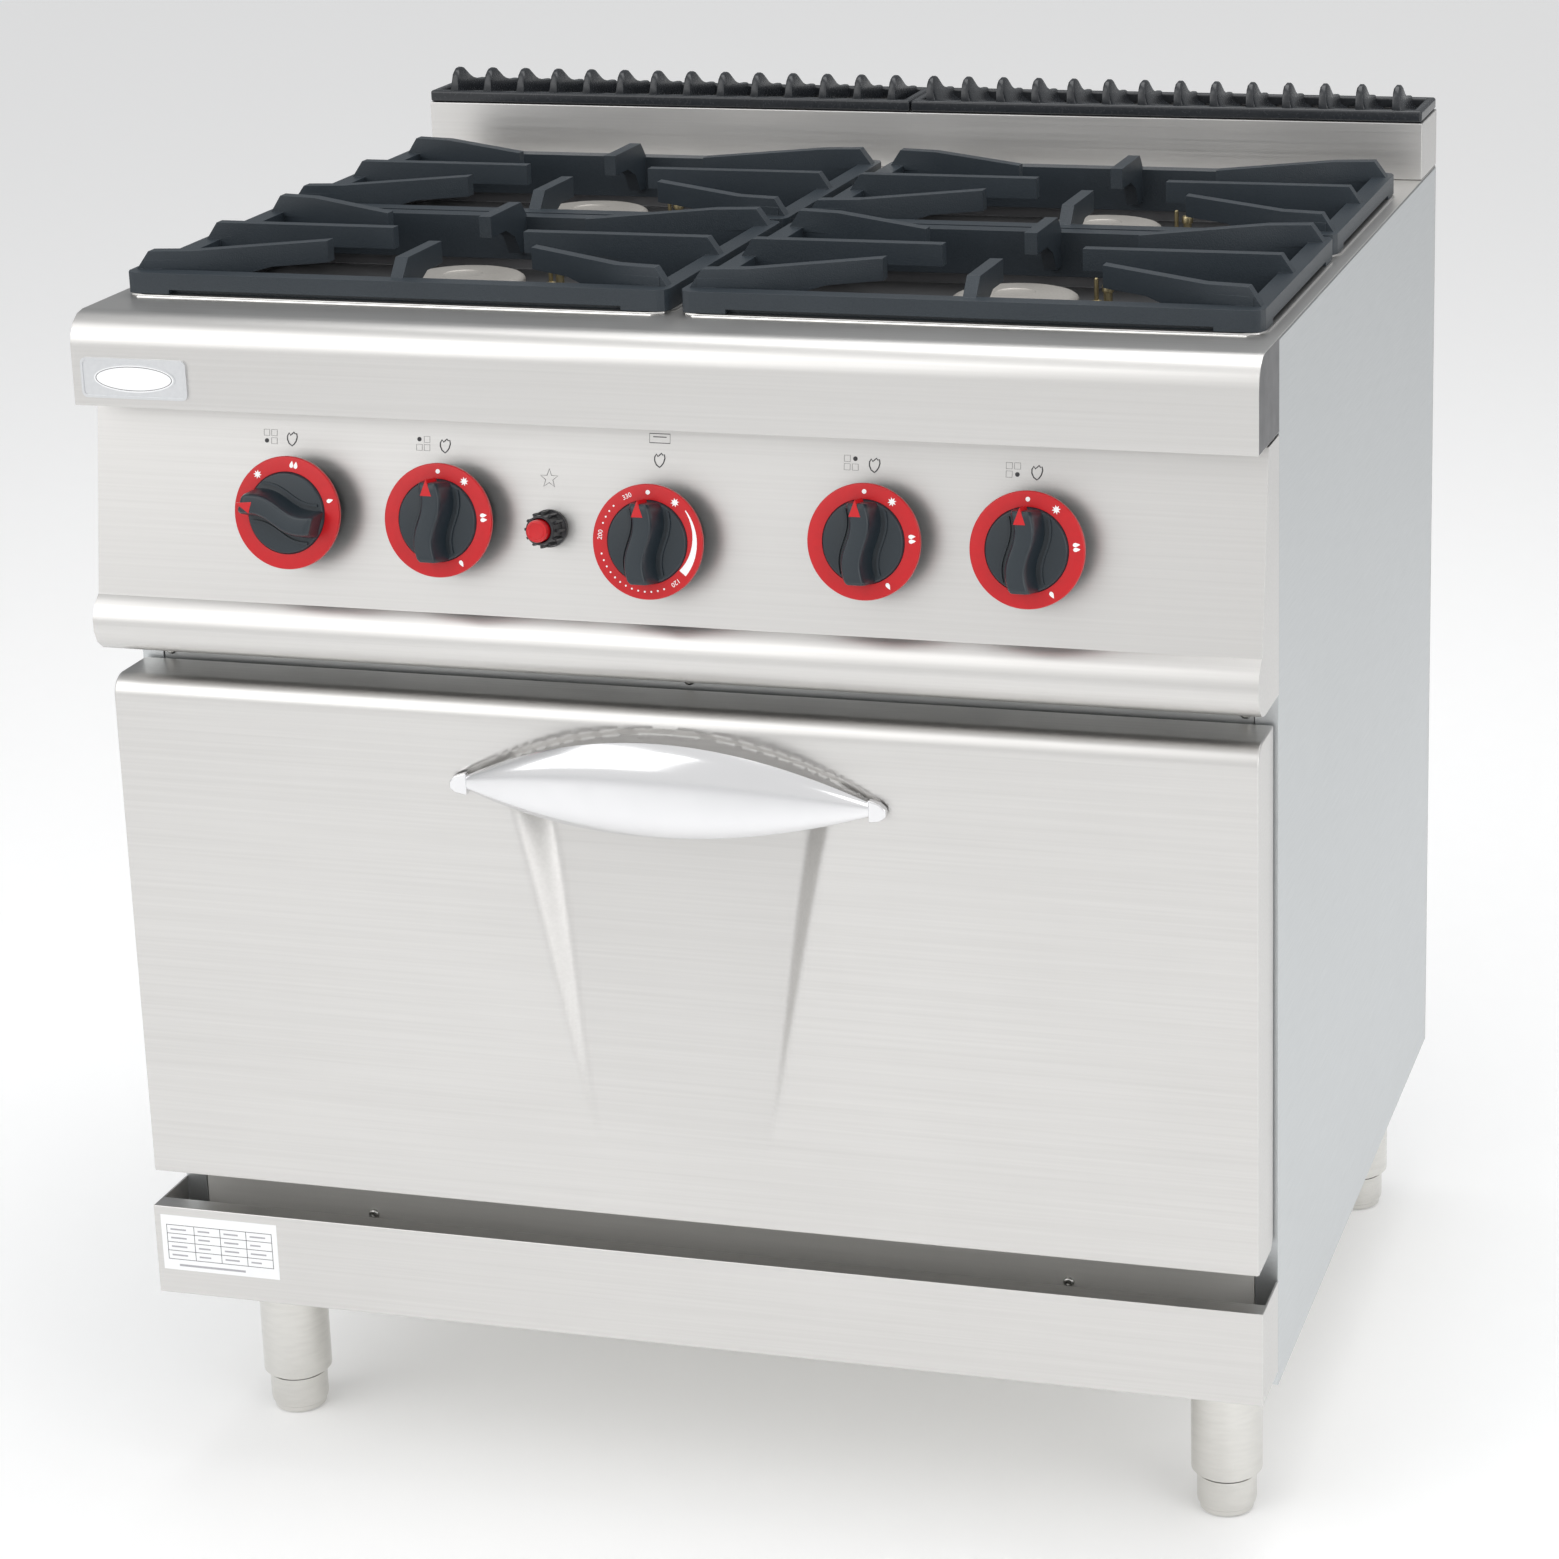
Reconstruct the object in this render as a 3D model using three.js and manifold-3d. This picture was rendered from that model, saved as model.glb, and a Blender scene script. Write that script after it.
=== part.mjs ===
// Commercial gas range: four open burners on a pressed worktop, over a gas oven with a drop-down door.
// Millimetres. X runs to the right, Y to the back, Z up. The floor is Z = 0.
import * as THREE from "three";
import { mergeVertices } from "three/addons/utils/BufferGeometryUtils.js";
import Module from "manifold-3d";

const wasm = await Module();
wasm.setup();

// ---- driving dimensions -------------------------------------------------------------------------
const SHEET = 1.5; // stainless sheet
const GAP = 0.3; // air between pieces that touch

const HALF_WIDTH = 400;
const FRONT_Y = -350; // front of the worktop's bullnose
const REAR_Y = 350;

const WORKTOP_Z = 850;
const APRON_BOTTOM_Z = 788.8;
const BULLNOSE_RADIUS = 21;

const PANEL_TOP = { y: -318, z: 787 }; // the sloped control panel's top edge
const PANEL_BOTTOM = { y: -340, z: 658 };
const RAIL_CENTRE_Z = 637; // half-round rail under the panel
const RAIL_RADIUS = 21;
const PANEL_SLOPE = Math.atan2(PANEL_TOP.y - PANEL_BOTTOM.y, PANEL_TOP.z - PANEL_BOTTOM.z);

const BODY_FRONT_Y = -284; // front edge of the side panels
const BODY_BOTTOM_Z = 127;
const SIDE_FLANGE = 16;
const FASCIA_Y = -283.2; // front face of the oven's face frame

const PLINTH = { front: -337, bottom: 137.5, top: 204.4, lip: 15 };

const DOOR = { halfWidth: 397, front: -336, back: -288, bottom: 230.5, top: 596, round: 14 };
const DOOR_AXIS = { y: -299.5, z: 241.9 };
const DOOR_POCKET = { top: 566, bottom: 283, halfTop: 112, halfBottom: 62, depth: 18 };
const HINGE_X = 341;
const HINGE_PIN_RADIUS = 3.5;

const HANDLE = { halfLength: 152, tipZ: 537, topZ: 581, bottomZ: 518, bow: 36, wall: 4 };

const OVEN = { halfWidth: 285, bottom: 230.5, sill: 262, top: 560, rear: 325 };
const OVEN_BURNER = { y: -180, z: 245, radius: 12 };
const DUCT = { halfWidth: 120, front: 290, rear: 323 };
const RACK_Z = 404;
const RAIL_LEVELS = [330, 400, 470];

const RISER = { front: 279, top: 893 };
const RIB_COUNT = 14;
const RIB_PITCH = 28;

const BURNER_X = 197;
const FRONT_BURNER_Y = -160;
const REAR_BURNER_Y = 94;
const WELL = { halfX: 188, halfY: 120, floor: 826, corner: 14 };
const TRIVET = { halfX: 193, halfY: 125, openX: 179, openY: 111, bottom: 851.8, rim: 866, top: 878 };
const BURNER_HOLE_RADIUS = 46;

const LEG_X = 352;
const LEG_YS = { front: -224, rear: 300 };

const BURNER_KNOB_Z = 718.5;
const OVEN_KNOB_Z = 711.5;
const LIT_TURN = (75 * Math.PI) / 180; // the first burner's knob stands at full flame
const IGNITER = { x: -75, z: 715 };
const SPINDLE_RADIUS = 4;
const SPINDLE_BORE = 4.4;
const MANIFOLD = { depth: 66, radius: 11, left: -300, right: 350 };

// ---- finishes -----------------------------------------------------------------------------------
function finish(color, roughness, metalness) {
  return new THREE.MeshStandardMaterial({ color, roughness, metalness });
}

const brushedSteel = () => finish("#d3d1cd", 0.35, 1);
const dullSteel = () => finish("#aeb0b0", 0.5, 1);
const chrome = () => finish("#e6e6e6", 0.08, 1);
const castIron = () => finish("#2b343c", 0.6, 0.2);
const glossBlackIron = () => finish("#15181b", 0.3, 0.1);
const brass = () => finish("#b08d4a", 0.35, 1);
const blackPlastic = () => finish("#232c35", 0.4, 0);
const redPlastic = () => finish("#d8141e", 0.35, 0);
const blackRubber = () => finish("#1c1c1c", 0.85, 0);

// ---- solid tools --------------------------------------------------------------------------------
function toSolid(geometry) {
  const bare = geometry.clone();
  bare.deleteAttribute("normal");
  bare.deleteAttribute("uv");
  const merged = mergeVertices(bare, 1e-4);
  const corners = merged.index.array;
  const kept = [];
  for (let i = 0; i < corners.length; i += 3) {
    const [a, b, c] = [corners[i], corners[i + 1], corners[i + 2]];
    if (a !== b && b !== c && c !== a) kept.push(a, b, c);
  }
  return new wasm.Manifold(
    new wasm.Mesh({
      numProp: 3,
      vertProperties: merged.attributes.position.array,
      triVerts: new Uint32Array(kept),
    }),
  );
}

function toGeometry(solid) {
  const mesh = solid.getMesh();
  const positions = new Float32Array(mesh.numVert * 3);
  for (let i = 0; i < mesh.numVert; i++) {
    positions.set(mesh.vertProperties.subarray(i * mesh.numProp, i * mesh.numProp + 3), i * 3);
  }
  const geometry = new THREE.BufferGeometry();
  geometry.setAttribute("position", new THREE.BufferAttribute(positions, 3));
  geometry.setIndex(new THREE.BufferAttribute(mesh.triVerts, 1));
  return geometry;
}

function join(...pieces) {
  return toGeometry(pieces.map(toSolid).reduce((whole, piece) => whole.add(piece)));
}

function cut(body, ...tools) {
  return toGeometry(tools.map(toSolid).reduce((whole, tool) => whole.subtract(tool), toSolid(body)));
}

function overlap(a, b) {
  return toGeometry(toSolid(a).intersect(toSolid(b)));
}

// ---- basic shapes -------------------------------------------------------------------------------
function block(x0, x1, y0, y1, z0, z1) {
  return new THREE.BoxGeometry(x1 - x0, y1 - y0, z1 - z0).translate(
    (x0 + x1) / 2,
    (y0 + y1) / 2,
    (z0 + z1) / 2,
  );
}

function outline(points) {
  return new THREE.Shape(points.map(([u, v]) => new THREE.Vector2(u, v)));
}

function extrude(shape, depth) {
  return new THREE.ExtrudeGeometry(shape, { depth, bevelEnabled: false, curveSegments: 3 });
}

// An outline in (y, z), drawn out from x0 to x1.
function alongX(shape, x0, x1) {
  const turn = new THREE.Matrix4().makeBasis(
    new THREE.Vector3(0, 1, 0),
    new THREE.Vector3(0, 0, 1),
    new THREE.Vector3(1, 0, 0),
  );
  return extrude(shape, x1 - x0).applyMatrix4(turn).translate(x0, 0, 0);
}

// An outline in (x, z), drawn out from y0 to y1.
function alongY(shape, y0, y1) {
  return extrude(shape, y1 - y0).rotateX(Math.PI / 2).translate(0, y1, 0);
}

// An outline in (x, y), drawn out from z0 to z1.
function alongZ(shape, z0, z1) {
  return extrude(shape, z1 - z0).translate(0, 0, z0);
}

// A shape of revolution about Z from (radius, z) points that start and end on the axis, bottom first.
function turned(points, segments = 16) {
  const profile = points.map(([r, z]) => new THREE.Vector2(r, z));
  return new THREE.LatheGeometry(profile, segments).rotateX(Math.PI / 2);
}

function disc(radius, z0, z1, segments = 16) {
  return turned([[0, z0], [radius, z0], [radius, z1], [0, z1]], segments);
}

function roundedRectangle(halfX, halfY, radius, cornerSteps = 2) {
  const points = [];
  for (const [quarter, sideX, sideY] of [[-1, 1, -1], [0, 1, 1], [1, -1, 1], [2, -1, -1]]) {
    for (let step = 0; step <= cornerSteps; step++) {
      const angle = (quarter + step / cornerSteps) * (Math.PI / 2);
      const x = sideX * (halfX - radius) + radius * Math.cos(angle);
      points.push([x, sideY * (halfY - radius) + radius * Math.sin(angle)]);
    }
  }
  return outline(points);
}

function mirrored(geometry) {
  const flipped = mergeVertices(geometry.clone().scale(-1, 1, 1), 1e-4);
  const corners = Array.from(flipped.index.array);
  for (let i = 0; i < corners.length; i += 3) {
    [corners[i + 1], corners[i + 2]] = [corners[i + 2], corners[i + 1]];
  }
  flipped.setIndex(corners);
  return flipped;
}

function tube(points, radius, steps) {
  const path = new THREE.CatmullRomCurve3(points.map((p) => new THREE.Vector3(...p)), false, "chordal");
  const section = new THREE.Shape();
  section.absarc(0, 0, radius, 0, 2 * Math.PI);
  return new THREE.ExtrudeGeometry(section, {
    steps,
    curveSegments: 3,
    bevelEnabled: false,
    extrudePath: path,
  });
}

// Y of the control panel's front surface at height z.
function panelY(z) {
  return PANEL_BOTTOM.y + (z - PANEL_BOTTOM.z) * Math.tan(PANEL_SLOPE);
}

// Moves a shape built on +Z (outwards) so that it stands square on the control panel at (x, z).
function onPanel(geometry, x, z) {
  return geometry.rotateX(Math.PI / 2 - PANEL_SLOPE).translate(x, panelY(z), z);
}

// ---- the assembly -------------------------------------------------------------------------------
const range = new THREE.Group();

function add(name, geometry, material) {
  const mesh = new THREE.Mesh(geometry, material);
  mesh.name = name;
  range.add(mesh);
}

// ---- chassis ------------------------------------------------------------------------------------
function sidePanel() {
  const inner = HALF_WIDTH - SHEET;
  const flange = HALF_WIDTH - SIDE_FLANGE;
  const rear = REAR_Y - 2;
  const section = outline([
    [flange, BODY_FRONT_Y],
    [HALF_WIDTH, BODY_FRONT_Y],
    [HALF_WIDTH, rear],
    [flange, rear],
    [flange, rear - SHEET],
    [inner, rear - SHEET],
    [inner, BODY_FRONT_Y + SHEET],
    [flange, BODY_FRONT_Y + SHEET],
  ]);
  return alongZ(section, BODY_BOTTOM_Z, WORKTOP_Z - SHEET - GAP);
}

function manifoldPoint() {
  const y = panelY(BURNER_KNOB_Z) + MANIFOLD.depth * Math.cos(PANEL_SLOPE);
  const z = BURNER_KNOB_Z - MANIFOLD.depth * Math.sin(PANEL_SLOPE);
  return { y, z };
}

function rearPanel() {
  const plate = block(-HALF_WIDTH, HALF_WIDTH, REAR_Y - 1.7, REAR_Y, BODY_BOTTOM_Z, WORKTOP_Z - SHEET - GAP);
  const inletHole = disc(16, 0, 20).rotateX(-Math.PI / 2);
  inletHole.translate(MANIFOLD.right, REAR_Y - 10, manifoldPoint().z);
  return cut(plate, inletHole);
}

function basePan() {
  const half = HALF_WIDTH - SHEET - GAP;
  const floor = block(-half, half, FASCIA_Y, REAR_Y - 4, BODY_BOTTOM_Z + GAP, BODY_BOTTOM_Z + GAP + SHEET);
  const inside = HALF_WIDTH - SIDE_FLANGE - 0.5;
  const front = block(-inside, inside, FASCIA_Y, FASCIA_Y + SHEET, BODY_BOTTOM_Z + GAP, OVEN.bottom - 2);
  const rear = block(-inside, inside, REAR_Y - 4 - SHEET, REAR_Y - 4, BODY_BOTTOM_Z + GAP, 150);
  const corner = block(inside, HALF_WIDTH, -300, BODY_FRONT_Y + 2, 100, 200);
  return join(cut(floor, corner, mirrored(corner)), front, rear);
}

function plinth() {
  const { front, bottom, top, lip } = PLINTH;
  const back = BODY_FRONT_Y - GAP;
  const section = outline([
    [front, bottom],
    [back, bottom],
    [back, bottom + SHEET],
    [front + SHEET, bottom + SHEET],
    [front + SHEET, top - SHEET],
    [front + lip, top - SHEET],
    [front + lip, top],
    [front, top],
  ]);
  const end = HALF_WIDTH - SHEET;
  return join(
    alongX(section, -HALF_WIDTH, HALF_WIDTH),
    block(end, HALF_WIDTH, front, back, bottom, top),
    block(-HALF_WIDTH, -end, front, back, bottom, top),
  );
}

function leg() {
  const body = turned([[0, 30], [25, 30], [25, 118], [36, 122], [36, BODY_BOTTOM_Z], [0, BODY_BOTTOM_Z]]);
  return cut(body, disc(21.5, 20, 116));
}

function foot() {
  return turned([[0, 0], [19, 0], [19, 3], [21, 5], [21, 80], [0, 80]]);
}

// ---- worktop and riser --------------------------------------------------------------------------
function bullnoseSection(inset) {
  const centre = { y: FRONT_Y + BULLNOSE_RADIUS, z: WORKTOP_Z - BULLNOSE_RADIUS };
  const radius = BULLNOSE_RADIUS - inset;
  const points = [];
  for (let step = 0; step <= 4; step++) {
    const angle = Math.PI - (step / 4) * (Math.PI / 2);
    points.push([centre.y + radius * Math.cos(angle), centre.z + radius * Math.sin(angle)]);
  }
  return points;
}

// The bullnose and apron, closed at both ends, and the flat sheet behind them.
function worktopSheet() {
  const back = BODY_FRONT_Y - GAP;
  const lip = FRONT_Y + 14;
  const outside = [
    [back, APRON_BOTTOM_Z],
    [FRONT_Y, APRON_BOTTOM_Z],
    ...bullnoseSection(0),
    [back, WORKTOP_Z],
  ];
  const inside = [
    [back + 5, APRON_BOTTOM_Z - 5],
    [lip, APRON_BOTTOM_Z - 5],
    [lip, APRON_BOTTOM_Z + SHEET],
    [FRONT_Y + SHEET, APRON_BOTTOM_Z + SHEET],
    ...bullnoseSection(SHEET),
    [back + 5, WORKTOP_Z - SHEET],
  ];
  const inner = HALF_WIDTH - SHEET;
  const nose = cut(
    alongX(outline(outside.reverse()), -HALF_WIDTH, HALF_WIDTH),
    alongX(outline(inside.reverse()), -inner, inner),
  );
  const sheet = block(-HALF_WIDTH, HALF_WIDTH, back - 8, REAR_Y - 2.5, WORKTOP_Z - SHEET, WORKTOP_Z);
  return join(nose, sheet);
}

function worktop() {
  let top = worktopSheet();
  for (const x of [-BURNER_X, BURNER_X]) {
    for (const y of [FRONT_BURNER_Y, REAR_BURNER_Y]) {
      const seat = alongZ(roundedRectangle(194.5, 126.5, 16), WORKTOP_Z - 1, TRIVET.bottom - GAP);
      const tubOutside = roundedRectangle(WELL.halfX + SHEET, WELL.halfY + SHEET, WELL.corner + SHEET);
      const tub = alongZ(tubOutside, WELL.floor - SHEET, WORKTOP_Z - 1);
      const inside = alongZ(roundedRectangle(WELL.halfX, WELL.halfY, WELL.corner), WELL.floor, WORKTOP_Z + 5);
      const hole = disc(BURNER_HOLE_RADIUS, WELL.floor - 5, WELL.floor + 5);
      const place = (shape) => shape.translate(x, y, 0);
      top = cut(join(top, place(seat), place(tub)), place(inside), place(hole));
    }
  }
  const flueSlot = block(-DUCT.halfWidth + 4, DUCT.halfWidth - 4, DUCT.front + 2, DUCT.rear - 2, 840, 860);
  return cut(top, flueSlot);
}

function riser() {
  const inner = HALF_WIDTH - SHEET;
  const bottom = WORKTOP_Z + GAP;
  return cut(
    block(-HALF_WIDTH, HALF_WIDTH, RISER.front, REAR_Y, bottom, RISER.top),
    block(-inner, inner, RISER.front + SHEET, REAR_Y - SHEET, bottom - 5, RISER.top - SHEET),
    block(-inner + 8, inner - 8, RISER.front + 10, REAR_Y - 10, RISER.top - 10, RISER.top + 5),
  );
}

// One flue casting, for x from 0 to the right end: a frame crossed by fin-shaped ribs.
function flueGrate() {
  const bottom = RISER.top + GAP;
  const railTop = bottom + 9;
  const end = HALF_WIDTH - 0.5;
  let grate = cut(
    block(0.5, end, RISER.front + 0.5, REAR_Y - 1, bottom, railTop),
    block(7, end - 7, RISER.front + 8, REAR_Y - 8, bottom - 5, railTop + 5),
  );
  const fin = outline([
    [RISER.front + 4, bottom + 1],
    [REAR_Y - 4, bottom + 1],
    [REAR_Y - 4, railTop + 3],
    [REAR_Y - 22, 917],
    [RISER.front + 22, 920],
    [RISER.front + 4, 912],
  ]);
  for (let rib = 0; rib < RIB_COUNT; rib++) {
    const x = 13 + rib * RIB_PITCH;
    grate = join(grate, alongX(fin, x, x + 6));
  }
  return grate;
}

// ---- control panel ------------------------------------------------------------------------------
function railSection(inset) {
  const centreY = PANEL_BOTTOM.y + 9;
  const radius = RAIL_RADIUS - inset;
  const points = [];
  const start = Math.acos((PANEL_BOTTOM.y - centreY) / RAIL_RADIUS); // where the panel meets the rail
  for (let step = 0; step <= 6; step++) {
    const angle = start + (step / 6) * (1.5 * Math.PI - start);
    points.push([centreY + radius * Math.cos(angle), RAIL_CENTRE_Z + radius * Math.sin(angle)]);
  }
  return points;
}

function panelSection() {
  const back = BODY_FRONT_Y - GAP;
  const outer = [
    [PANEL_TOP.y, PANEL_TOP.z],
    ...railSection(0),
    [back, RAIL_CENTRE_Z - RAIL_RADIUS],
  ];
  const inner = [
    [back, RAIL_CENTRE_Z - RAIL_RADIUS + SHEET],
    ...railSection(SHEET).reverse(),
    [PANEL_BOTTOM.y + SHEET, PANEL_BOTTOM.z - 0.5],
    [PANEL_TOP.y + SHEET, PANEL_TOP.z],
  ];
  return outline([...outer, ...inner]);
}

function panelEnd(x0) {
  const back = BODY_FRONT_Y - GAP;
  const points = [
    [back, PANEL_TOP.z],
    [PANEL_TOP.y, PANEL_TOP.z],
    ...railSection(0),
    [back, RAIL_CENTRE_Z - RAIL_RADIUS],
  ];
  return alongX(outline(points), x0, x0 + SHEET);
}

const CONTROLS = [
  { name: "front_left", x: -252, z: BURNER_KNOB_Z, turn: LIT_TURN },
  { name: "rear_left", x: -145, z: BURNER_KNOB_Z, turn: 0 },
  { name: "oven", x: 0, z: OVEN_KNOB_Z, turn: 0 },
  { name: "rear_right", x: 145, z: BURNER_KNOB_Z, turn: 0 },
  { name: "front_right", x: 252, z: BURNER_KNOB_Z, turn: 0 },
];

function controlPanel() {
  const sheet = join(
    alongX(panelSection(), -HALF_WIDTH, HALF_WIDTH),
    panelEnd(-HALF_WIDTH),
    panelEnd(HALF_WIDTH - SHEET),
  );
  const spindleHoles = CONTROLS.map(({ x, z }) => onPanel(disc(6, -10, 10, 10), x, z));
  const igniterHole = onPanel(disc(9, -10, 10, 12), IGNITER.x, IGNITER.z);
  return cut(sheet, ...spindleHoles, igniterHole);
}

// Knob with its dial flange and barrel in one moulding, standing on +Z over the panel.
function knob() {
  const body = turned([[0, 5], [30, 5], [32, 17], [37.5, 18], [37.5, 22], [27, 22], [27, 26], [0, 26]], 20);
  const grip = alongZ(roundedRectangle(8.5, 26.5, 8), 24, 42);
  return cut(join(body, grip), disc(SPINDLE_BORE, 0, 22, 8));
}

function spindle() {
  return disc(SPINDLE_RADIUS, -12, 21, 8);
}

function igniterBody() {
  const shell = turned([[0, -26], [8.6, -26], [8.6, GAP], [12.5, GAP], [12.5, 16], [11, 20], [0, 20]]);
  return cut(shell, disc(7.9, 6, 30));
}

function igniterButton() {
  return turned([[0, 12], [7.4, 12], [7.4, 25], [6.4, 26], [0, 26]]);
}

// ---- gas train ----------------------------------------------------------------------------------
function gasManifold() {
  const { y, z } = manifoldPoint();
  const across = disc(MANIFOLD.radius, MANIFOLD.left, MANIFOLD.right + 6, 10).rotateY(Math.PI / 2);
  const back = disc(MANIFOLD.radius - 1, y, REAR_Y, 10).rotateX(-Math.PI / 2);
  return join(across.translate(0, y, z), back.translate(MANIFOLD.right, 0, z));
}

// The route of each supply pipe, from the top of its valve to the mouth of its burner's mixing tube.
function supplyRoute({ name, x }) {
  const side = Math.sign(x);
  const start = [[x, -296, 712], [x, -296, 742]];
  const mouthZ = 797;
  if (name === "oven") {
    return [
      [0, -296, 700],
      [0, -296, 672],
      [40, -288, 640],
      [180, -268, 625],
      [310, -262, 600],
      [318, -255, 480],
      [318, -215, 275],
      [318, OVEN_BURNER.y, 248],
      [303, OVEN_BURNER.y, OVEN_BURNER.z],
    ];
  }
  if (name.startsWith("front")) {
    return [
      ...start,
      [side * 212, -296, 785],
      [side * BURNER_X, -288, mouthZ],
      [side * BURNER_X, -279, mouthZ],
    ];
  }
  return [
    ...start,
    [side * 125, -285, 760],
    [side * 112, -255, 770],
    [side * 112, -90, 772],
    [side * 150, -50, 790],
    [side * BURNER_X, -36, mouthZ],
    [side * BURNER_X, -25, mouthZ],
  ];
}

function valve(control) {
  const body = turned([[0, -54], [13, -54], [13, -22], [10, -20], [10, -8], [0, -8]], 12);
  const bored = cut(body, disc(SPINDLE_BORE, -18, 0, 8));
  const pipe = tube(supplyRoute(control), 4, 14);
  return join(onPanel(bored, control.x, control.z), pipe);
}

function burnerBody(x, y) {
  const cup = turned([[0, 780], [32, 780], [40, 790], [40, 818], [60, 821.2], [60, 824.2], [41, 824.2],
    [41, 836], [0, 836]]);
  const mixer = disc(13, -115, -30, 10).rotateX(-Math.PI / 2).translate(0, 0, 797);
  const mouth = disc(19, -115, -104, 10).rotateX(-Math.PI / 2).translate(0, 0, 797);
  return join(cup, mixer, mouth).translate(x, y, 0);
}

function burnerCap(x, y) {
  return turned([[0, 836.3], [43, 836.3], [43, 843], [40, 846], [0, 847]], 24).translate(x, y, 0);
}

function ovenBurner() {
  const { y, z, radius } = OVEN_BURNER;
  const length = disc(radius, y - 20, 250, 16).rotateX(-Math.PI / 2).translate(0, 0, z);
  const inlet = disc(radius - 3, 0, 300, 16).rotateY(Math.PI / 2).translate(0, y, z);
  return join(length, inlet);
}

// ---- trivets ------------------------------------------------------------------------------------
function sideFinger(side) {
  const points = [
    [-190, TRIVET.rim - 1], [-181, TRIVET.top], [-48, TRIVET.top], [-48, 863], [-105, 863],
    [-128, 859], [-146, 850], [-160, 842], [-182, 842],
  ];
  const bar = alongY(outline(points.reverse()), -4.5, 4.5);
  return side < 0 ? bar : bar.rotateZ(Math.PI);
}

function endFinger(side) {
  const points = [
    [-115, TRIVET.rim - 1], [-103, TRIVET.top], [-45, TRIVET.top], [-45, 863], [-72, 863],
    [-88, 856], [-98, 842], [-114, 842],
  ];
  const bar = alongX(outline(points.reverse()), -4.5, 4.5);
  return side < 0 ? bar : bar.rotateZ(Math.PI);
}

// The finger from one corner: level with the rim at first, then turned in towards the burner.
function cornerFinger(sideX, sideY) {
  const plan = (halfWidth, rootX) => {
    const points = [
      [rootX, 108 - halfWidth], [152, 101 - halfWidth], [74, 52 - halfWidth],
      [74, 52 + halfWidth], [152, 101 + halfWidth], [rootX, 108 + halfWidth],
    ].map(([x, y]) => [sideX * x, sideY * y]);
    return outline(sideX * sideY < 0 ? points.reverse() : points);
  };
  const gusset = outline([[-184, 842], [-160, 842], [-128, 858], [-105, 863.5], [-105, 872], [-184, 872]]);
  const slope = outline([
    [-190, 863], [-60, 863], [-60, TRIVET.top], [-181, TRIVET.top], [-190, TRIVET.rim - 1],
  ]);
  const facing = (profile) => {
    const bar = alongY(profile, -125, 125);
    return sideX < 0 ? bar : bar.rotateZ(Math.PI);
  };
  return [
    overlap(alongZ(plan(5, 190), 863, TRIVET.top), facing(slope)),
    overlap(alongZ(plan(5, 186), 840, TRIVET.top - 6), facing(gusset)),
  ];
}

function trivet(x, y) {
  const { halfX, halfY, openX, openY, bottom, rim } = TRIVET;
  const frame = cut(
    alongZ(roundedRectangle(halfX, halfY, 8), bottom, rim),
    block(-halfX + 32, halfX - 32, -halfY - 5, halfY + 5, bottom - 5, bottom + 3),
    block(-halfX - 5, halfX + 5, -halfY + 32, halfY - 32, bottom - 5, bottom + 3),
  );
  const skirt = alongZ(roundedRectangle(openX + 7, openY + 7, 10), 835, bottom + 5);
  const opening = alongZ(roundedRectangle(openX, openY, 8), 800, 900);
  const fingers = [sideFinger(-1), sideFinger(1), endFinger(-1), endFinger(1)];
  for (const sideX of [-1, 1]) {
    for (const sideY of [-1, 1]) fingers.push(...cornerFinger(sideX, sideY));
  }
  return join(cut(join(frame, skirt), opening), ...fingers).translate(x, y, 0);
}

// ---- oven ---------------------------------------------------------------------------------------
function ovenLiner() {
  const { halfWidth, bottom, sill, top, rear } = OVEN;
  const outer = halfWidth + SHEET;
  const shell = block(-outer, outer, FASCIA_Y, rear + SHEET, bottom - SHEET, top + SHEET);
  const edge = HALF_WIDTH - SIDE_FLANGE - 0.5;
  const fascia = block(-edge, edge, FASCIA_Y, FASCIA_Y + SHEET, bottom - SHEET, 615.5);
  const ductHalf = DUCT.halfWidth + SHEET;
  const duct = block(-ductHalf, ductHalf, DUCT.front - SHEET, DUCT.rear + SHEET, top, 846.5);
  const ledge = block(270, halfWidth, -270, 315, sill - 5, sill - 2);
  const burnerHole = disc(OVEN_BURNER.radius - 2, 250, 300, 16).rotateY(Math.PI / 2);
  burnerHole.translate(0, OVEN_BURNER.y, OVEN_BURNER.z);
  const hollow = cut(
    join(shell, fascia, duct),
    block(-halfWidth, halfWidth, FASCIA_Y + SHEET, rear, bottom, top),
    block(-halfWidth, halfWidth, FASCIA_Y - 5, 0, sill, top),
    block(-DUCT.halfWidth, DUCT.halfWidth, DUCT.front, DUCT.rear, top - 5, 850),
    burnerHole,
    block(-HINGE_X - 5, -HINGE_X + 5, FASCIA_Y - 5, FASCIA_Y + 5, 233, 251),
    block(HINGE_X - 5, HINGE_X + 5, FASCIA_Y - 5, FASCIA_Y + 5, 233, 251),
  );
  return join(hollow, ledge, mirrored(ledge));
}

function ovenFloor() {
  const half = OVEN.halfWidth - 2;
  const plate = block(-half, half, -268, 312, OVEN.sill - 1.7, OVEN.sill + 0.8);
  const slots = [-1, 1].map((side) => block(side * 240 - 12, side * 240 + 12, -200, 250, 250, 270));
  return cut(plate, ...slots);
}

function rackSupport() {
  const wall = OVEN.halfWidth - GAP;
  const uprights = [-190, 230].map((y) => block(wall - 3, wall, y - 8, y + 8, 290, 520));
  const rails = RAIL_LEVELS.map((z) => block(wall - 18, wall, -250, 290, z - 3, z));
  const hookEdges = RAIL_LEVELS.map((z) => block(wall - 3, wall, -250, 290, z - 3, z + 8));
  return join(...uprights, ...rails, ...hookEdges);
}

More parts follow.
